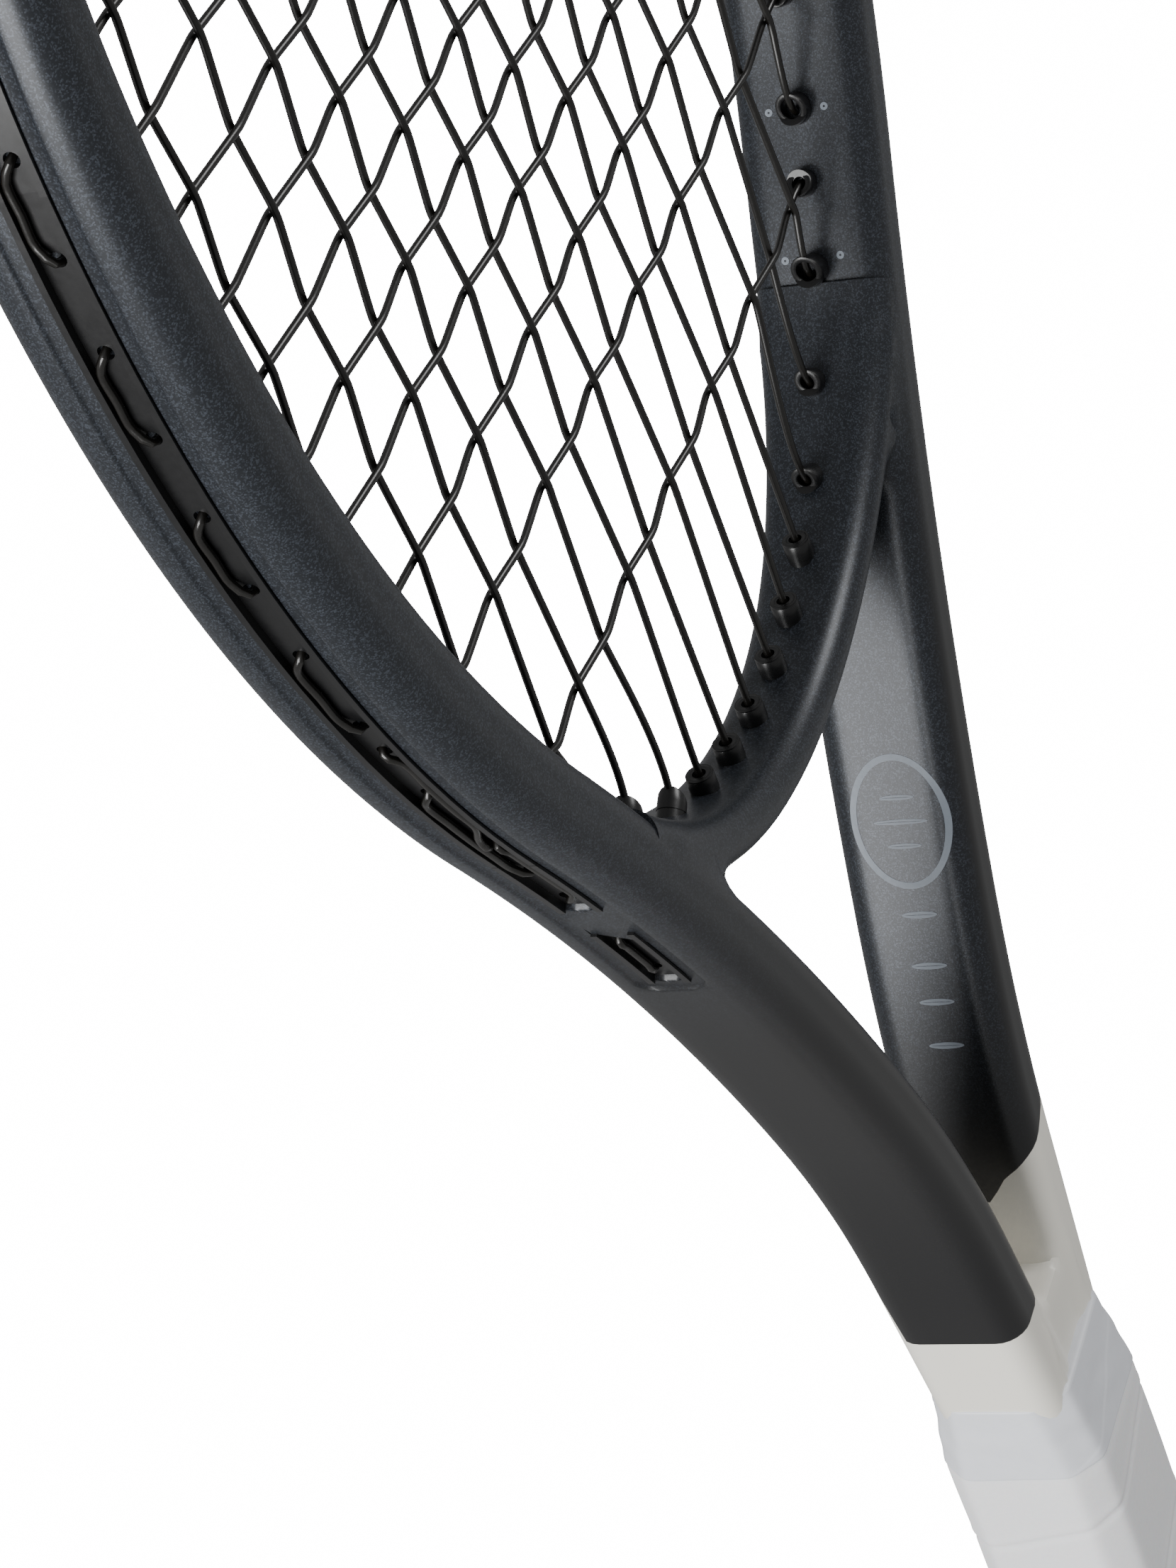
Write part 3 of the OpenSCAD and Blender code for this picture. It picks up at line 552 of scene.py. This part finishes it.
right = spaced(HAIRPIN.total, 2.2, 0.5, [
    (CHANNEL_END - 5, CHANNEL_END + 1), (POCKET[0] - 1, POCKET[0] + 6),
    (POCKET[1] - 4, LAND_END + 1)])
s = np.concatenate([right[:0:-1], right])
side = np.concatenate([-np.ones(len(right) - 1), np.ones(len(right))])
point, outward = HAIRPIN.at(np.minimum(s, HAIRPIN.total - 1e-6))
u, z = tube_section(s)
base_u = np.where((np.abs(z) < BEAM / 2 - EDGE_R + 0.01) & (u > 0), MID, u)
plan = point[:, None] + base_u[..., None] * outward[:, None]
tube = np.stack([side[:, None] * plan[..., 0], plan[..., 1], z], -1)
tube = settle(tube, "tube")
outwards = np.stack([side[:, None] * outward[:, :1], outward[:, 1:], 0 * side[:, None]], -1)
tube -= (base_u - u)[..., None] * outwards


def bridge_rings(end, inset, n=90):
    """Rounded rectangles along the bridge's inner face from -end to end, inset all round. Near
    the end they sink a little into the tube."""
    s = np.linspace(0, end, n)
    s, side = np.concatenate([s[:0:-1], s]), np.concatenate([-np.ones(n - 1), np.ones(n)])
    point, outward = THROAT_FACE.at(s)
    width, depth, r = bridge_sizes(s)
    r = r - inset
    ring = []
    for k, (u_sign, z_sign) in enumerate(((1, 1), (-1, 1), (-1, -1), (1, -1))):
        a = np.radians(90 * k + np.linspace(0, 90, 9))
        ring.append(np.stack([
            u_sign * (width / 2 - inset - r)[:, None] + r[:, None] * np.cos(a),
            z_sign * (depth / 2 - inset - r)[:, None] + r[:, None] * np.sin(a)], -1))
    ring = np.concatenate(ring, 1)
    sink = width / 2 + 0.3 * ease((s - THROAT_FACE.total + 14) / 12)
    plan = point[:, None] + (sink[:, None] + ring[..., 0])[..., None] * outward[:, None]
    return np.stack([side[:, None] * plan[..., 0], plan[..., 1], ring[..., 1]], -1)


bridge = settle(bridge_rings(THROAT_FACE.total - 1e-6, 0), "bridge")

across = np.linspace(-WEB_HALF, WEB_HALF, 25)
a = np.radians(np.linspace(0, 360, 96, endpoint=False))
half_y, half_z = (WEB_TOP - WEB_LOW) / 2, BEAM / 2 - 0.9
stretch = 1 / np.maximum(np.abs(np.cos(a)) / half_y, np.abs(np.sin(a)) / half_z)
loop_y, loop_z = stretch * np.cos(a), stretch * np.sin(a)
web = np.stack(np.broadcast_arrays(across[:, None], (WEB_TOP + WEB_LOW) / 2 + loop_y[None],
                                   loop_z[None]), -1)
web = settle(web, "web")

# where the paint changes, by the direction seen from the middle of the tube
PAINT_LINE = np.array([(-180, 196), (-140, 195.5), (-125, 193.5), (-115, 189.5), (-100, 188.5),
                       (56, 188.5), (60, 190), (64, 207), (68, 210), (90, 207), (120, 204),
                       (140, 201), (155, 197.5), (165, 196), (180, 196)])


def paint_marks(points):
    """Values that steer the paint: millimetres past the ivory line, and share of flake."""
    p = points.reshape(-1, 3)
    side = np.where(p[:, 0] < 0, -1.0, 1.0)
    u, _, _ = HAIRPIN.near(np.stack([np.abs(p[:, 0]), p[:, 1]], 1))
    turn = np.degrees(np.arctan2(side * p[:, 2], u))
    ivory = np.interp(turn, PAINT_LINE[:, 0], PAINT_LINE[:, 1]) - p[:, 1]
    inner = ease((-u - 3) / 3)
    flake = inner * ease((p[:, 1] - 200) / 45) + (1 - inner) * ease((p[:, 1] - 280) / 90)
    return ivory, flake


shells = [closed_ends(part) for part in (tube, bridge, web)]
every = np.concatenate([p for p, _ in shells])
ivory, flake = paint_marks(every)
make("moulded_frame", shells, LACQUER, ("hairpin_tube", "throat_bridge", "fork_web"),
     {"ivory": ivory, "flake": flake}, crease=50)
make("bridge_core", [closed_ends(bridge_rings(52, 1.9, 40))], FOAM, ("bridge_foam",),
     crease=60)

# ---- grommet holes

MAINS_LOW = [6, 17.3, 28.7, 41.2, 54.1, 65.9, 80.5, 94.8]
MAINS_HIGH = [6, 17.3, 28.7, 41.2, 54.1, 65.9, 79.1, 96.8]
CROSS_UP = [46, 72.5, 90.2, 106, 119.2, 132.4, 145.5, 158.7, 172, 185.2,
            198.4, 211.7, 225, 238.5, 252.2, 266.2, 280.3, 294.6, 308.3]
STRING_D, STRIP_T, CHANNEL_D = 1.2, 0.9, 2.4
LIFT = STRIP_T + STRING_D / 2 + 0.08  # a string loop's middle above the floor
LONG_OUT, MID_OUT, SHORT_OUT = 3.4, 2.6, 1.6
THROAT_Z, LANE, WEAVE = -0.8, 1.55, 0.62
SEAT_DEPTH = TUBE_W - CHANNEL_D
FLOOR_R = SHAFT_R - MID + CHANNEL_D
TIE_LOW, TIE_HIGH = 6, 5
END_GAP = 4.5  # from the end of a pocket or channel to the middle of its last hole


def hole(p, d, z, depth, out):
    """A grommet hole: inner point, outward direction, height z, depth, and barrel length."""
    return {"p": np.array(p, float), "d": np.array(d, float), "z": z, "depth": depth, "out": out}


def arc_hole(centre, radius, degrees, out=SHORT_OUT):
    p = polar(centre, radius, degrees)
    return hole(p, (p - centre) / radius, 0.0, SEAT_DEPTH, out)


def cross_hole(i):
    y = THROAT_Y + CROSS_UP[i]
    if y < WIDE_Y:
        return arc_hole(LOWER_C, LOWER_R, np.degrees(np.arcsin((y - WIDE_Y) / LOWER_R)),
                        MID_OUT if i < 2 else SHORT_OUT)
    if y < polar(CROWN_C, CROWN_R, CROWN_A)[1]:
        return arc_hole(UPPER_C, UPPER_R, np.degrees(np.arcsin((y - WIDE_Y) / UPPER_R)))
    return arc_hole(CROWN_C, CROWN_R, np.degrees(np.arcsin((y - CROWN_C[1]) / CROWN_R)))


def high_hole(i):
    x = MAINS_HIGH[i]
    if x < CROWN_R * np.cos(np.radians(CROWN_A)):
        return arc_hole(CROWN_C, CROWN_R, np.degrees(np.arccos(x / CROWN_R)))
    return arc_hole(UPPER_C, UPPER_R, np.degrees(np.arccos((x - UPPER_C[0]) / UPPER_R)))


def low_hole(i):
    x = MAINS_LOW[i]
    if i > 5:
        return arc_hole(LOWER_C, LOWER_R, -np.degrees(np.arccos((x - LOWER_C[0]) / LOWER_R)),
                        MID_OUT if i < 7 else SHORT_OUT)
    p = np.array([x, THROAT_C[1] - np.sqrt(THROAT_R**2 - x**2)])
    q = p - THROAT_C
    if i < 3:
        depth = np.sqrt(q[1] ** 2 - q @ q + (THROAT_R + BRIDGE_W) ** 2) + q[1]
        return hole(p, (0, -1), THROAT_Z, depth, LONG_OUT)
    run = (POCKET[1] - END_GAP, POCKET[0] + END_GAP, CHANNEL_END - END_GAP)[i - 3]
    run -= HAIRPIN.starts[3]
    end = polar(SHAFT_C, FLOOR_R, 180 - SHAFT_SLANT + np.degrees(run / SHAFT_R))
    depth = np.linalg.norm(end - p)
    return hole(p, (end - p) / depth, THROAT_Z if i < 5 else 0.0, depth, MID_OUT)


def flipped(h, side):
    return {**h, "p": h["p"] * (side, 1), "d": h["d"] * (side, 1)}


CROSS = [cross_hole(i) for i in range(19)]
HIGH = [high_hole(i) for i in range(8)]
LOW = [low_hole(i) for i in range(8)]


def lathe(h, profile, lean, turns=20):
    """Rings around a hole's axis. profile holds (radius, height out of the face); heights near
    the tip lean with the string, as the barrel's end is cut across it."""
    axis = -np.array([h["d"][0], h["d"][1], 0])
    flat = np.array([-axis[1], axis[0], 0])
    up = np.array([0, 0, 1.0])
    a = np.linspace(0, 2 * np.pi, turns, endpoint=False)
    centre = np.array([h["p"][0], h["p"][1], h["z"]])
    rings = []
    for radius, height, cut in profile:
        offset = radius * (np.cos(a)[:, None] * flat + np.sin(a)[:, None] * up)
        rise = height - cut * np.tan(lean) * (offset @ flat)
        rings.append(centre + offset + rise[:, None] * axis)
    return np.array(rings)


def barrel(h, radius, bore, string_d):
    """A grommet's barrel: a tube with a rounded rim, open a few millimetres down its bore."""
    out = h["out"] + 0.03
    turn = np.degrees(np.arctan2(h["d"][1], h["d"][0]) - np.arctan2(string_d[1], string_d[0]))
    lean = np.radians(((turn + 180) % 360 - 180) / 2)
    profile = [(radius, -3.0, 0), (radius, 0.2, 0), (radius + 0.1, 0.3, 0),
               (radius + 0.1, 0.3 + (out - 0.3) * 0.4, 0.4),
               (radius + 0.06, out - 0.4, 0.9), (radius - 0.08, out - 0.12, 1),
               (radius - 0.3, out, 1), (bore + 0.35, out, 1), (bore + 0.1, out - 0.12, 1),
               (bore, out - 0.5, 0.6), (bore, -2.5, 0)]
    return closed_ends(lathe(h, profile, lean))


shells = []
for side in (-1, 1):
    for i, h in enumerate(CROSS):
        shells.append(barrel(flipped(h, side), 2.2, 1.1, np.array([side, 0])))
    for i, h in enumerate(HIGH):
        tie = i == TIE_HIGH
        shells.append(barrel(flipped(h, side), 2.6 if tie else 2.2, 1.6 if tie else 1.1,
                             np.array([0, 1])))
    for i, h in enumerate(LOW):
        tie = i in (5, TIE_LOW)
        shells.append(barrel(flipped(h, side), 2.6 if tie else 2.2, 1.6 if tie else 1.1,
                             np.array([0, -1])))
make("grommet_rims", shells, NYLON)

# ---- strings: one length, laced through the mains and then the crosses from the bottom


def exit_of(h, z):
    p = h["p"] + (h["depth"] + LIFT) * h["d"]
    return [p[0], p[1], z]


def mouth_of(h, z):
    p = h["p"] - max(0.9, h["out"] - 1.2) * h["d"]
    return [p[0], p[1], z]


def clear_of(h, x, y):
    return (h["p"] - (x, y)) @ h["d"] > h["out"] + 0.8


def lay(p, z):
    """A point laid on the floor of the channel, the bridge or the shaft."""
    side = -1 if p[0] < 0 else 1
    p = np.array([side * p[0], p[1]])

    def on(c, r):
        v = p - c
        return c + r * v / np.linalg.norm(v)

    if p[1] > WIDE_Y:
        crown = np.degrees(np.arctan2(p[1] - CROWN_C[1], p[0])) > CROWN_A
        c, r = (CROWN_C, CROWN_R) if crown else (UPPER_C, UPPER_R)
        q = on(c, r + SEAT_DEPTH + LIFT)
    elif np.degrees(np.arctan2(p[1] - WIDE_Y, p[0] - LOWER_C[0])) > -SHAFT_SLANT:
        q = on(LOWER_C, LOWER_R + SEAT_DEPTH + LIFT)
    elif THROAT_Y - 20 < p[1] < THROAT_Y + 1 and p[0] < 50:
        q = on(THROAT_C, THROAT_R + BRIDGE_W + LIFT)
    else:
        q = on(SHAFT_C, FLOOR_R - LIFT)
    return [side * q[0], q[1], z]


def part_way(a, b, t):
    return [a[0] + t * (b[0] - a[0]), a[1] + t * (b[1] - a[1])]


def loop(a, b, z):
    """The string's way along the channel from one hole to the next, in its lane."""
    n = np.hypot(b[0] - a[0], b[1] - a[1])
    t, steps = 2.4 / n, 4 if n > 20 else 2
    return [lay(part_way(a, b, t + (1 - 2 * t) * k / steps), z) for k in range(steps + 1)]


def over(i, side, c):
    """1 where main i passes in front of cross c, else -1."""
    return -1 if ((7 - i if side < 0 else 8 + i) + c) % 2 == 0 else 1


def main_x(i, y):
    a, b = LOW[i]["p"], HIGH[i]["p"]
    return a[0] + (b[0] - a[0]) * (y - a[1]) / (b[1] - a[1])


def crosses(i, c):
    """Where main i and cross c pass each other, or None inside a barrel."""
    y = THROAT_Y + CROSS_UP[c]
    x = main_x(i, y)
    return (x, y) if all(clear_of(h, x, y) for h in (LOW[i], HIGH[i], CROSS[c])) else None


def taut(points):
    """Adds a point 1.3 mm before and after each crossing, so that the string runs straight
    between crossings and bends only where it passes over or under the other."""
    p = np.array(points, float)
    out = []
    for k, here in enumerate(p):
        around = [p[j] for j in (k - 1, k + 1) if 0 <= j < len(p)]
        beside = [here + 1.3 * (q - here) / np.linalg.norm(q - here) for q in around]
        for b in beside:
            b[2] = 0.89 * here[2]
        out += ([beside[0]] if k > 0 else []) + [here] + ([beside[-1]] if k < len(p) - 1 else [])
    return [q.tolist() for q in out]


def main_up(i, side):
    a, b = flipped(LOW[i], side), flipped(HIGH[i], side)
    za = THROAT_Z if i < 5 else 0.95 if side < 0 and i == TIE_LOW else 0
    zb = 0.95 if side < 0 and i == TIE_HIGH else 0
    spots = [(crosses(i, c), c) for c in range(19)]
    return ([exit_of(a, za), mouth_of(a, za)]
            + taut([[side * p[0], p[1], over(i, side, c) * WEAVE] for p, c in spots if p])
            + [mouth_of(b, zb), exit_of(b, zb)])


def cross_left(c):
    h = CROSS[c]
    middle = []
    for side in (1, -1):
        for i in (range(7, -1, -1) if side > 0 else range(8)):
            p = crosses(i, c)
            if p:
                middle.append([side * p[0], p[1], -over(i, side, c) * WEAVE])
    return ([exit_of(h, 0), mouth_of(h, 0)] + taut(middle)
            + [mouth_of(flipped(h, -1), 0), exit_of(flipped(h, -1), 0)])


def half_mains(side):
    path = []
    for i in range(8):
        run = main_up(i, side) if i % 2 == 0 else main_up(i, side)[::-1]
        if path:
            path += loop(path[-1], run[0], THROAT_Z if i in (2, 4) else LANE)
        path += run
    return path


tail_hole = flipped(LOW[TIE_LOW], -1)
a, b = exit_of(flipped(LOW[7], -1), 0), exit_of(tail_hole, -0.3)
left_tail = ([lay(part_way(a, b, t), LANE) for t in (0.08, 0.3, 0.55, 0.75)]
             + [lay(part_way(a, b, 0.9), -0.3), b, mouth_of(tail_hole, -0.3)])
a, b = exit_of(LOW[7], 0), exit_of(CROSS[0], 0)
split = lay(part_way(a, b, 0.3), LANE)
main_path = ((half_mains(-1) + left_tail)[::-1]
             + loop(exit_of(flipped(LOW[0], -1), THROAT_Z), exit_of(LOW[0], THROAT_Z), THROAT_Z)
             + half_mains(1) + [lay(part_way(a, b, 0.08), LANE), split])
cross_path = [split, lay(part_way(a, b, 0.62), -LANE), lay(part_way(a, b, 0.92), -LANE)]
for c in range(19):
    run = cross_left(c) if c % 2 == 0 else cross_left(c)[::-1]
    if c:
        cross_path += loop(cross_path[-1], run[0], -LANE)
    cross_path += run
end_hole = flipped(HIGH[TIE_HIGH], -1)
a, b = cross_path[-1], exit_of(end_hole, -0.3)
cross_path += [lay(part_way(a, b, 0.35), -LANE), lay(part_way(a, b, 0.7), -0.3), b,
               mouth_of(end_hole, -0.3)]


def smooth_path(path, step):
    """A curve through the points of a path, about step apart: cubic pieces whose slopes come
    from the neighbouring points, weighted by the square root of their distance."""
    p = np.array(path, float)
    gap = np.sqrt(np.linalg.norm(np.diff(p, axis=0), axis=1))
    rate = np.diff(p, axis=0) / gap[:, None]
    m = np.empty_like(p)
    m[1:-1] = ((rate[:-1] * gap[1:, None] + rate[1:] * gap[:-1, None])
               / (gap[1:] + gap[:-1])[:, None])
    m[0], m[-1] = rate[0], rate[-1]
    counts = np.maximum(np.ceil(gap**2 / step), 2).astype(int)
    k = np.repeat(np.arange(len(gap)), counts)
    f = (np.arange(len(k)) - np.repeat(np.cumsum(counts) - counts, counts)) / counts[k]
    f, g = f[:, None], gap[k][:, None]
    out = ((2 * f**3 - 3 * f**2 + 1) * p[k] + (f**3 - 2 * f**2 + f) * g * m[k]
           + (3 * f**2 - 2 * f**3) * p[k + 1] + (f**3 - f**2) * g * m[k + 1])
    return np.concatenate([out, p[-1:]])


def round_cord(path, diameter, sides=10):
    """A circle carried along a path, turned so that it never rolls about the path."""
    along = np.gradient(path, axis=0)
    along /= np.linalg.norm(along, axis=1)[:, None]
    out = np.cross([0, 0, 1.0], along)
    out /= np.linalg.norm(out, axis=1)[:, None]
    up = np.cross(along, out)
    a = np.linspace(0, 2 * np.pi, sides, endpoint=False)
    return path[:, None] + diameter / 2 * (
        np.cos(a)[:, None] * out[:, None] + np.sin(a)[:, None] * up[:, None])


make("main_strings", [closed_ends(round_cord(smooth_path(main_path, 1.5), STRING_D))], STRING,
     ("main_string",))
make("cross_strings", [closed_ends(round_cord(smooth_path(cross_path, 1.5), STRING_D))], STRING,
     ("cross_string",))

# ---- handle: wrapped grip, finishing tape and butt cap

HANDLE_W, HANDLE_H = 2 * TUBE_W - TUBE_LAP + 2 * 1.8, BEAM + 2 * 1.5
CORNER_CUT, GRIP_T, TAPE_T = 5.2, 1.9, 0.4
PALLET_TOP, GRIP_TOP, TAPE_LOW, TAPE_TOP = 150.0, 166.0, 151.0, 169.0
ROOT_W, ROOT_H = 33.0, 24.8
CAP_H, CAP_LOW, CAP_FLARE, CAP_WALL = 24.0, 7.0, 3.6, 1.3


def octagon(turn, out, width=HANDLE_W, height=HANDLE_H):
    """Distance from the middle to an octagon with eased corners in direction turn: the softened
    smallest of the distances to its eight sides. out moves every side outwards."""
    width, height = np.asarray(width) + 2 * out, np.asarray(height) + 2 * out
    cut = CORNER_CUT + out * (2 - np.sqrt(2))
    slant = (width / 2 + height / 2 - cut) / np.sqrt(2)
    total = 0
    for k in range(8):
        far = width / 2 if k % 4 == 0 else height / 2 if k % 4 == 2 else slant
        facing = np.cos(turn - np.pi / 4 * k)
        total = total + np.where(facing > 0.2, (np.maximum(facing, 0.2) / far) ** 36, 0)
    return total ** (-1 / 36)


def loft(heights, radius, turn):
    """Rings of points at the given heights. radius is (heights, turns)."""
    return np.stack([radius * np.cos(turn), np.broadcast_to(heights, radius.shape),
                     radius * np.sin(turn)], -1)


def outer_grip(y, turn, out):
    """Outside of the handle above the cap: the octagon, narrowing to the shafts at the top."""
    t = np.clip((y - PALLET_TOP) / (TAPE_TOP + 0.5 - PALLET_TOP), 0, 1)
    width = (HANDLE_W + 2 * GRIP_T) * (1 - t) + ROOT_W * t
    height = (HANDLE_H + 2 * GRIP_T) * (1 - t) + ROOT_H * t
    flare = np.interp(y, [0, CAP_LOW, CAP_H, CAP_H + 6],
                      [CAP_FLARE, CAP_FLARE, CAP_WALL, 0])
    return octagon(turn, out + flare, width, height)


turn = np.linspace(0, 2 * np.pi, 180, endpoint=False)[None, :]
y = np.concatenate([[7.2, 7.25, 7.5, 8.0], np.arange(9, GRIP_TOP + 0.1, 0.7)])[:, None]
WRAP = 27.0
lap = ((y + WRAP * turn / (2 * np.pi) - 14.0) / WRAP) % 1.0
from_seam = np.minimum(lap, 1 - lap) * WRAP
seam = -0.45 * np.exp(-(from_seam / 0.55) ** 2) + 0.12 * np.exp(-((lap * WRAP - 1.6) / 1.0) ** 2)
puff = 0.12 * np.sin(np.pi * lap)
edge = -1.2 * (1 - ease((y - 7.2) / 1.2)) - 0.5 * ease((y - GRIP_TOP + 1.5) / 1.5)
radius = outer_grip(y, turn, -0.16) + seam * ease((y - 12) / 6) + puff + edge
make("wrapped_grip", [closed_ends(loft(y, radius, turn))], GRIP, ("base_grip",),
     crease=180)

y = np.linspace(0, 1, 60)[:, None]
low_edge = TAPE_LOW + 0.8 * np.sin(turn - 0.6)
y = low_edge + (TAPE_TOP - 0.05 - low_edge) * y
fold = (0.10 * np.sin(2.4 * turn + 0.55 * y) * np.exp(-((y - 162) / 4) ** 2)
        + 0.09 * np.sin(5 * turn - 0.8 * y + 1.0) * np.exp(-((y - 158) / 5) ** 2))
ends = -0.5 * (1 - ease((y - low_edge) / 0.5)) - 0.9 * ease((y - TAPE_TOP + 0.6) / 0.55)
step = 0.12 * ease((np.cos(turn + 0.16 * (y - 160)) - 0.2) / 0.04)
radius = outer_grip(y, turn, TAPE_T - 0.22) + fold + ends + step
make("wound_tape", [closed_ends(loft(y, radius, turn))], TAPE, ("finishing_tape",),
     crease=180)

y = np.array([0, 0, 0.15, 0.5, 1.0, 1.5, 2.2, 4, 6, 6.6, 7, 7.2, 8, 16, 24])[:, None]
out = np.array([-1.2, -0.3, -0.1, 0.1, 0.25, 0.4, 0.6, 1.0, 1.0, 0.9, 0.6, 0.0, 0.0, -0.4, -0.8])
level = np.interp(y[:, 0], [0, 2, 7, 24], [CAP_FLARE + GRIP_T - 2.4, CAP_FLARE + GRIP_T - 1.3,
                                           CAP_FLARE + GRIP_T - 1.3, CAP_WALL])
radius = octagon(turn, (level + 0.5 * out)[:, None])
radius[0] *= 0.97
make("butt_cap_shell", [closed_ends(loft(y, radius, turn))], CAP, ("butt_cap",),
     crease=35)

# ---- construction pieces that stay as they are get their materials

FINISH = {"bridge_foam": FOAM, "handle_foam": FOAM, "balance_weights": STEEL,
          "cap_staples": STEEL, "pallet_front": PALLET, "pallet_back": PALLET,
          "bumper_guard": NYLON, "side_strip_left": NYLON, "side_strip_right": NYLON,
          "throat_strip": NYLON, "pocket_strip_left": NYLON, "pocket_strip_right": NYLON,
          "tie_off_knots": STRING}
for node, material in FINISH.items():
    mesh = frame["nodes"][node].data
    mesh.materials.clear()
    mesh.materials.append(material)

# ---- printed marks: a plain ring with ticks on the right shaft, dots beside two grommets


def face_drop(z):
    """How far the tube's rounded inner side lies back from its middle at height z."""
    over_edge = np.maximum(np.abs(z) - (BEAM / 2 - EDGE_R), 0)
    return EDGE_R - np.sqrt(np.maximum(EDGE_R**2 - over_edge**2, 0))


def ring_of_ink(s0, z0, rs, rz, line, n=72):
    """A band of ink that follows the inner side of the right tube: an oval of half-length rs and
    half-width rz about s0, z0. Its section is a flat box, sunk 0.3 mm and 0.05 mm proud."""
    a = np.linspace(0, 2 * np.pi, n, endpoint=False)
    grid = []
    for grow, lift in ((0, -0.3), (0, 0.05), (line, 0.05), (line, -0.3)):
        point, outward = HAIRPIN.at(s0 + (rs + grow) * np.cos(a))
        z = z0 + (rz + grow) * np.sin(a)
        deep = face_drop(z)
        p = point + (-MID - lift + deep)[:, None] * outward
        grid.append(np.stack([p[:, 0], p[:, 1], z], -1))
    return np.array(grid).reshape(-1, 3), [quads(4, n, around_rows=True)]


marks = []
badge = HAIRPIN.starts[3] + 110.4
marks.append(ring_of_ink(badge, 1.0, 10.6, 7.6, 1.1))
for offset, across in ((0, 4.4), (-4.2, 2.6), (4.2, 2.6)):
    marks.append(ring_of_ink(badge + offset, 1.0, 0.05, across, 0.4, 24))
for spot in (16.3, 25.3, 31.8, 39.8):
    marks.append(ring_of_ink(badge + spot, 1.4, 0.05, 2.6, 0.55, 24))
for along in (-6.9, 17.0):
    for z0 in (-4.8, 4.8):
        marks.append(ring_of_ink(HAIRPIN.starts[3] + along, z0, 0.2, 0.2, 0.45, 20))
make("printed_ring_and_dots", marks, PRINT)

# ---- floor, light and camera

def staged(name, points, faces, material):
    mesh = bpy.data.meshes.new(name)
    mesh.from_pydata(points, [], faces)
    mesh.materials.append(material)
    piece = bpy.data.objects.new(name, mesh)
    bpy.context.scene.collection.objects.link(piece)
    return piece


def shining(tree, kind, out, lit, seen):
    """Seen by the camera the surface is plain white; its light on the racket is the dimmer lit."""
    path = add(tree, "ShaderNodeLightPath")
    bright = add(tree, "ShaderNodeMapRange", {"Value": path.outputs["Is Camera Ray"]})
    bright.inputs["To Min"].default_value, bright.inputs["To Max"].default_value = lit, seen
    glow = add(tree, kind, {"Strength": bright.outputs["Result"]}, Color=(1, 1, 1, 1))
    tree.links.new(glow.outputs[0], out.inputs["Surface"])


SEEN = 16.0  # bright enough that the camera's view transform shows plain white
FLOOR = bpy.data.materials.new("white studio floor")
FLOOR.use_nodes = True
shining(FLOOR.node_tree, "ShaderNodeEmission", FLOOR.node_tree.nodes["Material Output"],
        0.36, SEEN)
HALF, LEVEL = 4.0, -0.001
staged("floor", [(-HALF, -HALF, LEVEL), (HALF, -HALF, LEVEL), (HALF, HALF, LEVEL),
                 (-HALF, HALF, LEVEL)], [(0, 1, 2, 3)], FLOOR)

sky = bpy.data.worlds.new("studio")
bpy.context.scene.world = sky
sky.use_nodes = True
shining(sky.node_tree, "ShaderNodeBackground", sky.node_tree.nodes["World Output"], 0.30, SEEN)


def softbox(name, place, target, size, power):
    """An area light at place, turned to face target, both in metres."""
    lamp = bpy.data.lights.new(name, "AREA")
    lamp.shape, lamp.size, lamp.size_y, lamp.energy = "RECTANGLE", size[0], size[1], power
    thing = bpy.data.objects.new(name, lamp)
    thing.location = place
    aim = Vector(target) - Vector(place)
    thing.rotation_mode = "QUATERNION"
    thing.rotation_quaternion = aim.to_track_quat("-Z", "Y")
    bpy.context.scene.collection.objects.link(thing)
    return thing


MIDDLE = (0.0, 0.0, 0.36)
softbox("key", (0.9, -1.3, 1.5), MIDDLE, (1.0, 0.8), 24)
softbox("side", (-1.7, 0.35, 0.45), MIDDLE, (1.3, 1.1), 60)

# seen from the upper left in front; the lens gives the view its slight perspective
EYE = np.array([-531.9, -279.1, 733.7]) / 1000
RIGHT = np.array([0.2829, -0.9069, -0.3123])
UP = np.array([0.6517, -0.0571, 0.7563])
RIGHT /= np.linalg.norm(RIGHT)
UP -= (UP @ RIGHT) * RIGHT
UP /= np.linalg.norm(UP)
BACK = np.cross(RIGHT, UP)
lens = bpy.data.cameras.new("camera")
lens.lens, lens.sensor_width = 107.89, 36.0
lens.clip_start, lens.clip_end = 0.01, 50.0
camera = bpy.data.objects.new("camera", lens)
camera.matrix_world = Matrix([[RIGHT[i], UP[i], BACK[i], EYE[i]] for i in range(3)]
                             + [[0, 0, 0, 1]])
bpy.context.scene.collection.objects.link(camera)
bpy.context.scene.camera = camera
